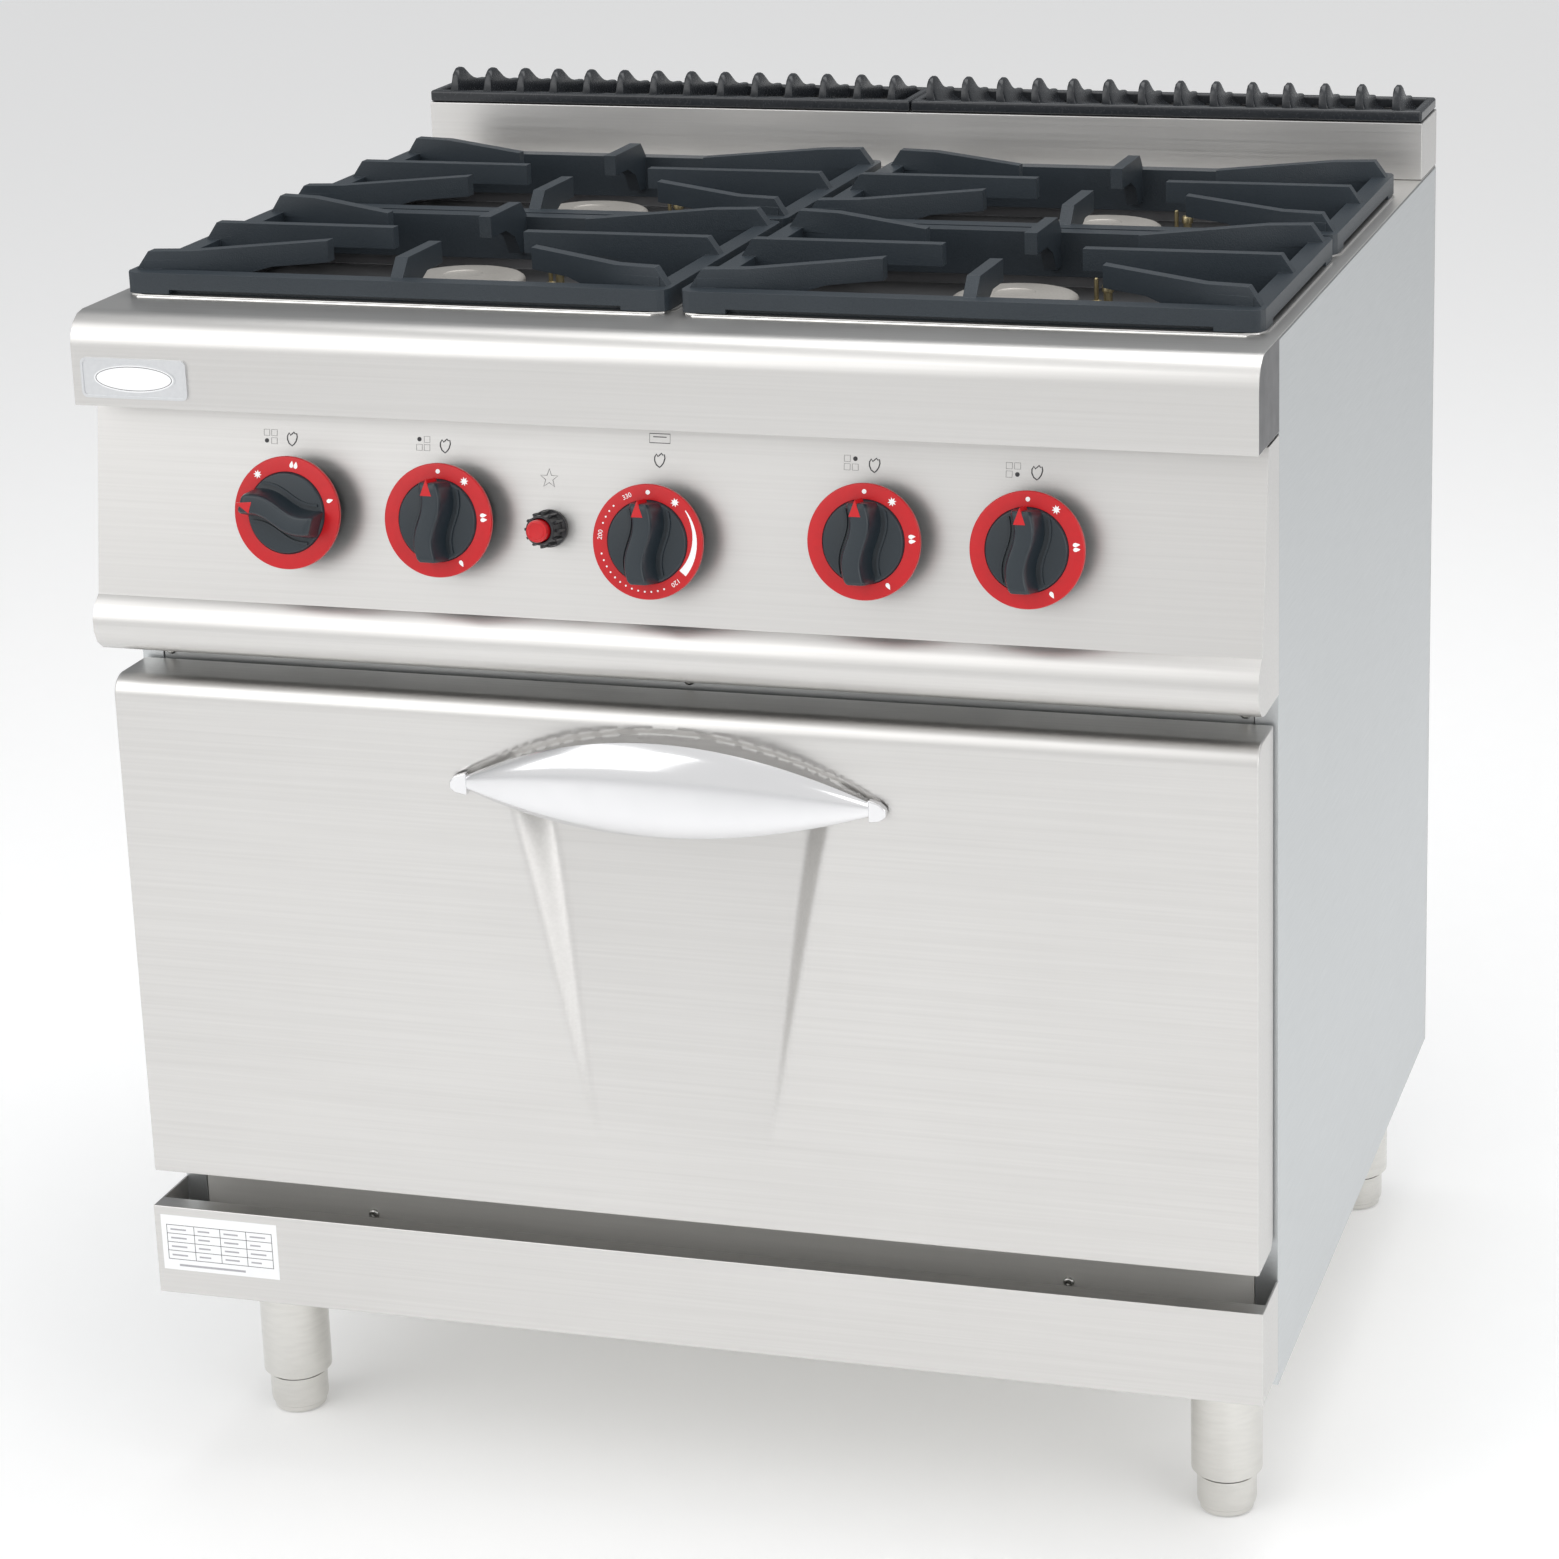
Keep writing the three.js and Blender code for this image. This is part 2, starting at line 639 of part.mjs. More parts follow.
function ovenRack() {
  const half = OVEN.halfWidth - 6;
  const z = RACK_Z;
  const wire = 3;
  const pieces = [-250, 270].map((y) => block(-half, half, y - wire, y + wire, z - wire, z + wire));
  for (const x of [-half + wire, half - wire]) {
    pieces.push(block(x - wire, x + wire, -250, 270, z - wire, z + wire));
  }
  for (let rod = 1; rod < 16; rod++) {
    const x = -half + (rod * 2 * half) / 16;
    pieces.push(block(x - 1.5, x + 1.5, -250, 270, z - 1.5, z + 1.5));
  }
  return join(...pieces);
}

// ---- oven door ----------------------------------------------------------------------------------
function doorRound(inset) {
  const { front, top, round } = DOOR;
  const points = [];
  for (let step = 0; step <= 4; step++) {
    const angle = Math.PI - (step / 4) * (Math.PI / 2);
    const y = front + round + (round - inset) * Math.cos(angle);
    points.push([y, top - round + (round - inset) * Math.sin(angle)]);
  }
  return points;
}

// The tapered finger pocket pressed into the door skin, grown by the given wall.
function doorPocket(wall) {
  const { top, bottom, halfTop, halfBottom, depth } = DOOR_POCKET;
  const front = DOOR.front;
  const side = outline([
    [front - 2, top + wall],
    [front - 2, bottom - wall],
    [front, bottom - wall],
    [front + depth + wall, 500],
    [front + depth + wall, top - 8 + wall],
    [front, top + wall],
  ].reverse());
  const face = outline([
    [-halfTop - wall, top + wall],
    [-halfTop - wall, 520],
    [-halfBottom - wall, bottom - wall],
    [halfBottom + wall, bottom - wall],
    [halfTop + wall, 520],
    [halfTop + wall, top + wall],
  ]);
  return overlap(alongX(side, -150, 150), alongY(face, front - 5, front + 40));
}

// A pan open at the back. Its lower rear edge is cut away for the swing, and slotted for the hinge arms.
function doorSkin() {
  const { halfWidth, front, back, bottom, top } = DOOR;
  const outside = [[back, bottom + 5], [back - 5, bottom], [front, bottom], ...doorRound(0), [back, top]];
  const inside = [
    [back + 5, bottom + SHEET],
    [front + SHEET, bottom + SHEET],
    ...doorRound(SHEET),
    [back + 5, top - SHEET],
  ];
  const pan = cut(
    alongX(outline(outside.reverse()), -halfWidth, halfWidth),
    alongX(outline(inside.reverse()), -halfWidth + SHEET, halfWidth - SHEET),
  );
  const pocketWall = overlap(doorPocket(SHEET), block(-200, 200, front, front + 30, 200, 600));
  const armSlot = block(HINGE_X - 6, HINGE_X + 6, -314, back + 5, bottom - 5, bottom + 9);
  return cut(join(pan, pocketWall), doorPocket(0), armSlot, mirrored(armSlot));
}

function doorInner() {
  const half = DOOR.halfWidth - SHEET - GAP;
  const sheet = block(-half, half, DOOR.back - SHEET, DOOR.back, DOOR.bottom + 5.4, DOOR.top - SHEET - GAP);
  const slots = [-1, 1].map((side) => {
    const x = side * HINGE_X;
    return block(x - 6, x + 6, DOOR.back - 5, DOOR.back + 5, 225, 264);
  });
  const pieces = [cut(sheet, ...slots)];
  for (const side of [-1, 1]) {
    for (const ear of [-1, 1]) {
      const x = side * HINGE_X + ear * 8;
      const { y, z } = DOOR_AXIS;
      pieces.push(block(x - 1.5, x + 1.5, y - 5.5, DOOR.back - 0.5, z - 5.5, z + 18));
    }
    const pin = disc(HINGE_PIN_RADIUS, -9, 9, 16).rotateY(Math.PI / 2);
    pieces.push(pin.translate(side * HINGE_X, DOOR_AXIS.y, DOOR_AXIS.z));
  }
  return join(...pieces);
}

// The fixed half of a hinge: a plate behind the face frame, with an arm to the door's pin.
function hinge(side) {
  const x = side * HINGE_X;
  const plateFront = FASCIA_Y + SHEET + GAP;
  const plate = block(x - 16, x + 16, plateFront, plateFront + 3, 231, 253);
  const arm = block(x - 3, x + 3, DOOR_AXIS.y, plateFront + 1, DOOR_AXIS.z - 4, DOOR_AXIS.z + 4);
  const knuckle = disc(6.3, -3, 3).rotateY(Math.PI / 2).translate(x, DOOR_AXIS.y, DOOR_AXIS.z);
  const bore = disc(HINGE_PIN_RADIUS + GAP, -9, 9).rotateY(Math.PI / 2);
  return cut(join(plate, arm, knuckle), bore.translate(x, DOOR_AXIS.y, DOOR_AXIS.z));
}

function doorSeal() {
  const outer = { x: OVEN.halfWidth + 16, bottom: OVEN.sill - 14, top: OVEN.top + 16 };
  const inner = { x: OVEN.halfWidth + 3, bottom: OVEN.sill - 2, top: OVEN.top + 3 };
  return cut(
    block(-outer.x, outer.x, DOOR.back + GAP, FASCIA_Y - GAP, outer.bottom, outer.top),
    block(-inner.x, inner.x, DOOR.back - 5, FASCIA_Y + 5, inner.bottom, inner.top),
  );
}

function handleFace() {
  const { halfLength, tipZ, topZ, bottomZ } = HANDLE;
  const shape = new THREE.Shape();
  shape.moveTo(-halfLength, tipZ);
  shape.quadraticCurveTo(0, 2 * bottomZ - tipZ, halfLength, tipZ);
  shape.quadraticCurveTo(0, 2 * topZ - tipZ, -halfLength, tipZ);
  return shape;
}

// A lens-shaped bar bowed forwards, resting on the door at its two tips.
function doorHandle() {
  const { halfLength, bow, wall } = HANDLE;
  const radius = (halfLength ** 2 + bow ** 2) / (2 * bow);
  const back = DOOR.front - GAP;
  const centreY = back - bow + radius;
  const outer = disc(radius, 480, 620, 160).translate(0, centreY, 0);
  const inner = disc(radius - wall, 470, 630, 160).translate(0, centreY, 0);
  const blank = extrude(handleFace(), 60).rotateX(Math.PI / 2).translate(0, back, 0);
  return cut(overlap(blank, outer), inner);
}

// ---- put together -------------------------------------------------------------------------------
add("side_panel_left", mirrored(sidePanel()), brushedSteel());
add("side_panel_right", sidePanel(), brushedSteel());
add("rear_panel", rearPanel(), dullSteel());
add("base_pan", basePan(), dullSteel());
add("plinth", plinth(), brushedSteel());
add("worktop", worktop(), brushedSteel());
add("riser", riser(), brushedSteel());
add("flue_grate_left", mirrored(flueGrate()), glossBlackIron());
add("flue_grate_right", flueGrate(), glossBlackIron());
add("control_panel", controlPanel(), brushedSteel());

for (const control of CONTROLS) {
  add(`valve_${control.name}`, valve(control), brass());
  add(`spindle_${control.name}`, onPanel(spindle(), control.x, control.z), brass());
  add(`knob_${control.name}`, onPanel(knob().rotateZ(control.turn), control.x, control.z), blackPlastic());
}
add("igniter_body", onPanel(igniterBody(), IGNITER.x, IGNITER.z), blackPlastic());
add("igniter_button", onPanel(igniterButton(), IGNITER.x, IGNITER.z), redPlastic());
add("gas_manifold", gasManifold(), dullSteel());

for (const [row, y] of [["front", FRONT_BURNER_Y], ["rear", REAR_BURNER_Y]]) {
  for (const [side, x] of [["left", -BURNER_X], ["right", BURNER_X]]) {
    add(`trivet_${row}_${side}`, trivet(x, y), castIron());
    add(`burner_body_${row}_${side}`, burnerBody(x, y), dullSteel());
    add(`burner_cap_${row}_${side}`, burnerCap(x, y), dullSteel());
  }
}

for (const [row, y] of Object.entries(LEG_YS)) {
  for (const [side, x] of [["left", -LEG_X], ["right", LEG_X]]) {
    add(`leg_${row}_${side}`, leg().translate(x, y, 0), brushedSteel());
    add(`foot_${row}_${side}`, foot().translate(x, y, 0), dullSteel());
  }
}

add("oven_liner", ovenLiner(), dullSteel());
add("oven_floor", ovenFloor(), dullSteel());
add("rack_support_left", mirrored(rackSupport()), chrome());
add("rack_support_right", rackSupport(), chrome());
add("oven_rack", ovenRack(), chrome());
add("oven_burner", ovenBurner(), dullSteel());
add("hinge_left", hinge(-1), dullSteel());
add("hinge_right", hinge(1), dullSteel());
add("door_seal", doorSeal(), blackRubber());
add("door_skin", doorSkin(), brushedSteel());
add("door_inner", doorInner(), dullSteel());
add("door_handle", doorHandle(), chrome());

// The origin is on the floor, under the middle of the whole range, knobs included.
const bounds = new THREE.Box3().setFromObject(range);
range.position.y = -(bounds.min.y + bounds.max.y) / 2;

export default range;
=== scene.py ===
import math

import bmesh
import bpy
from mathutils import Matrix, Vector


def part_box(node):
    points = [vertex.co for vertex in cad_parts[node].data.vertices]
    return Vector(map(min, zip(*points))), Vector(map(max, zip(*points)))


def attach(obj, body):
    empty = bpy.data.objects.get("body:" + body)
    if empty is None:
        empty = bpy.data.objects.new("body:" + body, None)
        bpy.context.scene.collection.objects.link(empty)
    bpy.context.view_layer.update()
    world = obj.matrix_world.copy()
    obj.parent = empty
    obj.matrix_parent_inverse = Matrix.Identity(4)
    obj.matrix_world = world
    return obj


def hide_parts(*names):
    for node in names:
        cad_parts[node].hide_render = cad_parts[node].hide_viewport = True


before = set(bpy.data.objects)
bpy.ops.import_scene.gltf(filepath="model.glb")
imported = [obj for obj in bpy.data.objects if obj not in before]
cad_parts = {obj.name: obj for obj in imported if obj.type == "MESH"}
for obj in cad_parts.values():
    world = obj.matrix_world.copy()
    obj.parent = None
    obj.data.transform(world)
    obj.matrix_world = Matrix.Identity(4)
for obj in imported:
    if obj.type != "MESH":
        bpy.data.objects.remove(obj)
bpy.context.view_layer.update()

# ---- Camera, light and floor --------------------------------------------------------------------
# A plain white studio: a pale floor, a soft surround that is darker behind the range than in front of it,
# and three large soft lamps. Sizes are millimetres from the middle of the range's body, on the floor.
MIDDLE_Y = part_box("rear_panel")[1].y - 0.350
BODY = Matrix.Translation((0, MIDDLE_Y, 0)) @ Matrix.Scale(0.001, 4)


def put_in_scene(name, data):
    item = bpy.data.objects.new(name, data)
    bpy.context.scene.collection.objects.link(item)
    return item


def make_camera():
    azimuth, elevation, roll = math.radians(15.54), math.radians(16.64), math.radians(-1.26)
    back = Vector((
        math.sin(azimuth) * math.cos(elevation),
        -math.cos(azimuth) * math.cos(elevation),
        math.sin(elevation),
    ))
    right = Vector((math.cos(azimuth), math.sin(azimuth), 0))
    up = back.cross(right)
    turned_right = right * math.cos(roll) + up * math.sin(roll)
    turned_up = up * math.cos(roll) - right * math.sin(roll)
    data = bpy.data.cameras.new("camera")
    data.sensor_width = 36
    data.lens = 92.96
    data.shift_x = -0.12
    data.shift_y = -0.08
    data.clip_end = 100
    camera = put_in_scene("camera", data)
    axes = Matrix((turned_right, turned_up, back)).transposed()
    place = BODY @ Vector((867.7, -2711.4, 1383.5))
    camera.matrix_world = Matrix.Translation(place) @ axes.to_4x4()
    bpy.context.scene.camera = camera


def soft_lamp(name, place, target, size, power):
    data = bpy.data.lights.new(name, "AREA")
    data.shape = "SQUARE"
    data.size = size
    data.energy = power
    lamp = put_in_scene(name, data)
    lamp.location = place
    lamp.rotation_euler = (Vector(target) - Vector(place)).to_track_quat("-Z", "Y").to_euler()


def make_surround():
    world = bpy.data.worlds.new("studio")
    world.use_nodes = True
    nodes, links = world.node_tree.nodes, world.node_tree.links
    direction = nodes.new("ShaderNodeTexCoord")
    parts = nodes.new("ShaderNodeSeparateXYZ")
    fade = nodes.new("ShaderNodeMapRange")
    fade.interpolation_type = "SMOOTHSTEP"
    fade.inputs["From Min"].default_value = -0.4
    fade.inputs["From Max"].default_value = 0.9
    ramp = nodes.new("ShaderNodeMix")
    ramp.data_type = "RGBA"
    ramp.inputs[6].default_value = (1.0, 1.0, 1.0, 1)
    ramp.inputs[7].default_value = (0.30, 0.31, 0.32, 1)
    links.new(direction.outputs["Generated"], parts.inputs[0])
    lean = nodes.new("ShaderNodeMath")
    lean.operation = "MULTIPLY_ADD"
    lean.inputs[1].default_value = -0.4
    links.new(parts.outputs["X"], lean.inputs[0])
    links.new(parts.outputs["Y"], lean.inputs[2])
    links.new(lean.outputs[0], fade.inputs["Value"])
    links.new(fade.outputs["Result"], ramp.inputs[0])
    links.new(ramp.outputs[2], nodes["Background"].inputs["Color"])
    nodes["Background"].inputs["Strength"].default_value = 0.85
    bpy.context.scene.world = world


make_camera()
make_surround()
soft_lamp("lamp_key", (-2.0, -2.6, 2.6), (0, 0, 0.6), 3.0, 40)
soft_lamp("lamp_fill", (2.8, -2.0, 1.6), (0, 0, 0.5), 2.2, 24)
soft_lamp("lamp_top", (0.3, 0.4, 3.2), (0, 0, 0.8), 2.4, 40)
bpy.context.scene.view_settings.view_transform = "Standard"


def piece_from(name, points, faces, place=BODY):
    """A piece from points in millimetres, put in the row's frame by the place matrix."""
    mesh = bpy.data.meshes.new(name)
    mesh.from_pydata([place @ Vector(point) for point in points], [], faces)
    mesh.update()
    return put_in_scene(name, mesh)


def make_floor():
    reach = 9000
    corners = [(-reach, -reach, -1), (reach, -reach, -1), (reach, reach, -1), (-reach, reach, -1)]
    floor = piece_from("floor", corners, [(0, 1, 2, 3)])
    paint = bpy.data.materials.new("floor_paint")
    paint.use_nodes = True
    nodes, links = paint.node_tree.nodes, paint.node_tree.links
    place = nodes.new("ShaderNodeTexCoord")
    grain = nodes.new("ShaderNodeTexNoise")
    grain.inputs["Scale"].default_value = 30
    tone = nodes.new("ShaderNodeMapRange")
    tone.inputs["To Min"].default_value = 0.88
    tone.inputs["To Max"].default_value = 0.91
    links.new(place.outputs["Object"], grain.inputs["Vector"])
    links.new(grain.outputs["Fac"], tone.inputs["Value"])
    links.new(tone.outputs["Result"], nodes["Principled BSDF"].inputs["Base Color"])
    nodes["Principled BSDF"].inputs["Roughness"].default_value = 0.9
    nodes["Principled BSDF"].inputs["Emission Color"].default_value = (1, 1, 1, 1)
    nodes["Principled BSDF"].inputs["Emission Strength"].default_value = 0.14
    floor.data.materials.append(paint)


make_floor()

# ---- Side panels --------------------------------------------------------------------------------
# Two pans of 1.5 mm stainless sheet, folded back at the front and rear edges, with a fine cool brushed face.
# They carry the worktop and stand on the legs.


FINISH_OUTPUTS = [
    ("Base Color", "NodeSocketColor"),
    ("Roughness", "NodeSocketFloat"),
    ("Bump Height", "NodeSocketFloat"),
]


def shader_group(name, *own_inputs):
    """Starts a look: its node group, what it is given, its output node and the place on the piece."""
    group = bpy.data.node_groups.new(name, "ShaderNodeTree")
    for label, kind in (
        ("Tint", "NodeSocketColor"), ("Shade", "NodeSocketColor"), ("Base Roughness", "NodeSocketFloat"),
        *own_inputs,
    ):
        group.interface.new_socket(label, in_out="INPUT", socket_type=kind)
    for label, kind in FINISH_OUTPUTS:
        group.interface.new_socket(label, in_out="OUTPUT", socket_type=kind)
    given, made = group.nodes.new("NodeGroupInput"), group.nodes.new("NodeGroupOutput")
    return group, given.outputs, made, group.nodes.new("ShaderNodeTexCoord").outputs["Object"]


def add_math(group, operation, first, second, third=None):
    node = group.nodes.new("ShaderNodeMath")
    node.operation = operation
    for socket, value in zip(node.inputs, (first, second, third)):
        if value is None:
            continue
        if isinstance(value, (int, float)):
            socket.default_value = value
        else:
            group.links.new(value, socket)
    return node.outputs[0]


def add_noise(group, vector, scale, detail):
    node = group.nodes.new("ShaderNodeTexNoise")
    node.inputs["Detail"].default_value = detail
    group.links.new(vector, node.inputs["Vector"])
    if isinstance(scale, (int, float)):
        node.inputs["Scale"].default_value = scale
    else:
        group.links.new(scale, node.inputs["Scale"])
    return node.outputs["Fac"]


def add_colour_mix(group, share, first, second):
    node = group.nodes.new("ShaderNodeMix")
    node.data_type = "RGBA"
    group.links.new(share, node.inputs[0])
    group.links.new(first, node.inputs[6])
    group.links.new(second, node.inputs[7])
    return node.outputs[2]


def give_finish(group, made, colour, roughness, height):
    for (label, _), value in zip(FINISH_OUTPUTS, (colour, roughness, height)):
        group.links.new(value, made.inputs[label])
    return group


def make_brushed_group():
    """Brushed sheet: long fine scratches along the grain, soft clouding and a little handling haze."""
    group, given, made, place = shader_group(
        "brushed_sheet", ("Grain", "NodeSocketVector"), ("Haze", "NodeSocketFloat"),
        ("Clouding", "NodeSocketFloat"),
    )
    stretch = group.nodes.new("ShaderNodeVectorMath")
    stretch.operation = "MULTIPLY"
    group.links.new(place, stretch.inputs[0])
    group.links.new(given["Grain"], stretch.inputs[1])
    scratch = add_noise(group, stretch.outputs[0], 1.0, 3)
    cloud = add_noise(group, place, 2.2, 2)
    haze = add_noise(group, place, 11, 6)
    patch = add_math(group, "MULTIPLY", add_math(group, "SUBTRACT", haze, 0.45), given["Haze"])
    mix = add_math(group, "MULTIPLY_ADD", add_math(group, "SUBTRACT", scratch, 0.5), 0.7, 0.35)
    drift = add_math(group, "MULTIPLY", add_math(group, "SUBTRACT", cloud, 0.5), given["Clouding"])
    mix = add_math(group, "ADD", mix, drift)
    mix = add_math(group, "ADD", mix, add_math(group, "MULTIPLY", patch, 3.0))
    colour = add_colour_mix(group, mix, given["Tint"], given["Shade"])
    rough = add_math(group, "MULTIPLY_ADD", scratch, 0.12, given["Base Roughness"])
    rough = add_math(group, "ADD", rough, patch)
    return give_finish(group, made, colour, rough, scratch)


def finish(name, group, tint, shade, roughness, settings, metallic, bump=(0.1, 0.0002), **constants):
    """A material that takes its look from a shader group; the constants go straight on the shader."""
    settings = {**settings, "Tint": (*tint, 1), "Shade": (*shade, 1), "Base Roughness": roughness}
    made = bpy.data.materials.new(name)
    made.use_nodes = True
    nodes, links = made.node_tree.nodes, made.node_tree.links
    shader = nodes["Principled BSDF"]
    look = nodes.new("ShaderNodeGroup")
    look.node_tree = group
    for label, value in settings.items():
        look.inputs[label].default_value = value
    relief = nodes.new("ShaderNodeBump")
    relief.inputs["Strength"].default_value = bump[0]
    relief.inputs["Distance"].default_value = bump[1]
    links.new(look.outputs["Base Color"], shader.inputs["Base Color"])
    links.new(look.outputs["Roughness"], shader.inputs["Roughness"])
    links.new(look.outputs["Bump Height"], relief.inputs["Height"])
    links.new(relief.outputs["Normal"], shader.inputs["Normal"])
    shader.inputs["Metallic"].default_value = metallic
    for label, value in constants.items():
        shader.inputs[label.replace("_", " ")].default_value = value
    return made


def modify(piece, kind, **settings):
    modifier = piece.modifiers.new(kind, kind)
    for name, value in settings.items():
        setattr(modifier, name, value)


def apply_modifiers(piece):
    graph = bpy.context.evaluated_depsgraph_get()
    mesh = bpy.data.meshes.new_from_object(piece.evaluated_get(graph))
    piece.modifiers.clear()
    piece.data = mesh
    return piece


SHARP = math.radians(32)


def ease_edges(piece, width, segments=2):
    """Rounds every sharp edge, and keeps broad faces flat in the shading."""
    if width:
        modify(
            piece, "BEVEL", width=width / 1000, segments=segments, limit_method="ANGLE",
            angle_limit=SHARP, harden_normals=False,
        )
        apply_modifiers(piece)
    work = bmesh.new()
    work.from_mesh(piece.data)
    bmesh.ops.recalc_face_normals(work, faces=work.faces)
    for face in work.faces:
        face.smooth = True
    for edge in work.edges:
        edge.smooth = edge.calc_face_angle(0) < math.radians(40)
    work.to_mesh(piece.data)
    work.free()
    modify(piece, "WEIGHTED_NORMAL", keep_sharp=True)
    return apply_modifiers(piece)


def cad_copy(node, width, segments=2):
    """A fresh piece with a CAD node's shape, its flat faces made whole and its edges rounded."""
    piece = put_in_scene(node + "_shell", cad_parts[node].data.copy())
    piece.data.materials.clear()
    if piece.data.has_custom_normals:
        bpy.context.view_layer.objects.active = piece
        piece.select_set(True)
        bpy.ops.mesh.customdata_custom_splitnormals_clear()
        piece.select_set(False)
    for layer in list(piece.data.uv_layers):
        piece.data.uv_layers.remove(layer)
    work = bmesh.new()
    work.from_mesh(piece.data)
    bmesh.ops.remove_doubles(work, verts=work.verts, dist=2e-5)
    bmesh.ops.dissolve_limit(work, angle_limit=math.radians(0.6), verts=work.verts, edges=work.edges)
    work.to_mesh(piece.data)
    work.free()
    return ease_edges(piece, width, segments)


def settle(piece, look, body="chassis", node=None):
    """Gives a finished piece its material, the body it rides on and the node it replaces."""
    if not piece.data.materials:
        piece.data.materials.append(look)
    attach(piece, body)
    if node:
        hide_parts(node)


def dress(node, width, look, body="chassis", segments=2):
    """Shows a CAD node in its own shape, with eased edges."""
    settle(cad_copy(node, width, segments), look, body, node)


brushed_group = make_brushed_group()


def brushed(name, tint, shade, grain, roughness, haze, clouding=0.6, metallic=1.0, bump=(0.1, 0.0002)):
    """A bare metal finish. Grain gives the scratches' fineness along X, Y and Z."""
    own = {"Grain": grain, "Haze": haze, "Clouding": clouding}
    return finish(name, brushed_group, tint, shade, roughness, own, metallic, bump)


side_steel = brushed(
    "side_steel", (0.64, 0.66, 0.67), (0.55, 0.57, 0.575), (1100, 24, 1100), 0.4, 0.02, clouding=0.35,
)
for side in ("left", "right"):
    dress("side_panel_" + side, 0.6, side_steel)

# ---- Rear panel and base pan --------------------------------------------------------------------
# Plain mill-finish sheets that close the body behind and below. Flush countersunk screws hold the rear panel,
# and pan-head screws hold the base pan's front upstand and the face frame.


def turned(name, profile, steps, place=BODY, about=(0, 0)):
    """A piece turned about its own Z from (radius, height) points; a point of radius 0 closes it."""
    points, rings = [], []
    for radius, height in profile:
        if radius == 0:
            rings.append([len(points)] * steps)
            points.append((about[0], about[1], height))
            continue
        rings.append(list(range(len(points), len(points) + steps)))
        for step in range(steps):
            angle = 2 * math.pi * step / steps
            points.append((about[0] + radius * math.cos(angle), about[1] + radius * math.sin(angle), height))
    faces = []
    for low, high in zip(rings, rings[1:]):
        for step in range(steps):
            after = (step + 1) % steps
            corners = [low[step], low[after], high[after], high[step]]
            face = [corner for place_in, corner in enumerate(corners) if corner not in corners[:place_in]]
            if len(face) > 2:
                faces.append(face)
    return piece_from(name, points, faces, place)


def prism(name, outline, start, end, axis="x", place=BODY):
    """An outline drawn out along an axis. The outline is (y, z), (x, z) or (x, y) for axis x, y or z."""
    def point(u, v, along):
        return {"x": (along, u, v), "y": (u, along, v), "z": (u, v, along)}[axis]
    count = len(outline)
    points = [point(u, v, start) for u, v in outline] + [point(u, v, end) for u, v in outline]
    faces = [tuple(range(count)), tuple(range(2 * count - 1, count - 1, -1))]
    for corner in range(count):
        after = (corner + 1) % count
        faces.append((corner, corner + count, after + count, after))
    return piece_from(name, points, faces, place)


def joined(name, pieces, width=0, segments=2):
    """One piece from several, its edges eased. Each keeps its own materials."""
    whole = bmesh.new()
    looks = []
    for piece in pieces:
        first = len(whole.faces)
        whole.from_mesh(piece.data)
        whole.faces.ensure_lookup_table()
        own = list(piece.data.materials)
        for face in whole.faces[first:]:
            look = own[face.material_index] if own else None
            if look not in looks:
                looks.append(look)
            face.material_index = looks.index(look)
    mesh = bpy.data.meshes.new(name)
    whole.to_mesh(mesh)
    whole.free()
    for look in looks:
        if look:
            mesh.materials.append(look)
    for piece in pieces:
        bpy.data.objects.remove(piece)
    return ease_edges(put_in_scene(name, mesh), width, segments)


def make_row_group():
    """Geometry nodes: copies of a template piece in a straight row, made real, in one material."""
    group = bpy.data.node_groups.new("row_of_copies", "GeometryNodeTree")
    sockets = {}
    for label, kind in (
        ("Template", "NodeSocketObject"), ("Count", "NodeSocketInt"), ("First", "NodeSocketVector"),
        ("Step", "NodeSocketVector"), ("Material", "NodeSocketMaterial"),
    ):
        sockets[label] = group.interface.new_socket(label, in_out="INPUT", socket_type=kind).identifier
    group.interface.new_socket("Geometry", in_out="OUTPUT", socket_type="NodeSocketGeometry")
    given, made = group.nodes.new("NodeGroupInput"), group.nodes.new("NodeGroupOutput")
    line, template, copies, real, coat = [group.nodes.new("GeometryNode" + kind) for kind in (
        "MeshLine", "ObjectInfo", "InstanceOnPoints", "RealizeInstances", "SetMaterial",
    )]
    for source, target in (
        (given.outputs["Template"], template.inputs["Object"]),
        (given.outputs["Count"], line.inputs["Count"]),
        (given.outputs["First"], line.inputs["Start Location"]),
        (given.outputs["Step"], line.inputs["Offset"]),
        (line.outputs["Mesh"], copies.inputs["Points"]),
        (template.outputs["Geometry"], copies.inputs["Instance"]),
        (copies.outputs["Instances"], real.inputs["Geometry"]),
        (real.outputs["Geometry"], coat.inputs["Geometry"]),
        (given.outputs["Material"], coat.inputs["Material"]),
        (coat.outputs["Geometry"], made.inputs["Geometry"]),
    ):
        group.links.new(source, target)
    return group, sockets


row_group, row_sockets = make_row_group()


def row_of(name, template, count, first, step, look):
    """A row of copies of a template, which is used up. First and step are in millimetres."""
    made = put_in_scene(name, bpy.data.meshes.new(name))
    nodes = made.modifiers.new("row", "NODES")
    nodes.node_group = row_group
    nodes[row_sockets["Template"]] = template
    nodes[row_sockets["Count"]] = count
    nodes[row_sockets["First"]] = [value / 1000 for value in first]
    nodes[row_sockets["Step"]] = [value / 1000 for value in step]
    nodes[row_sockets["Material"]] = look
    apply_modifiers(made)
    bpy.data.objects.remove(template)
    return ease_edges(made, 0)


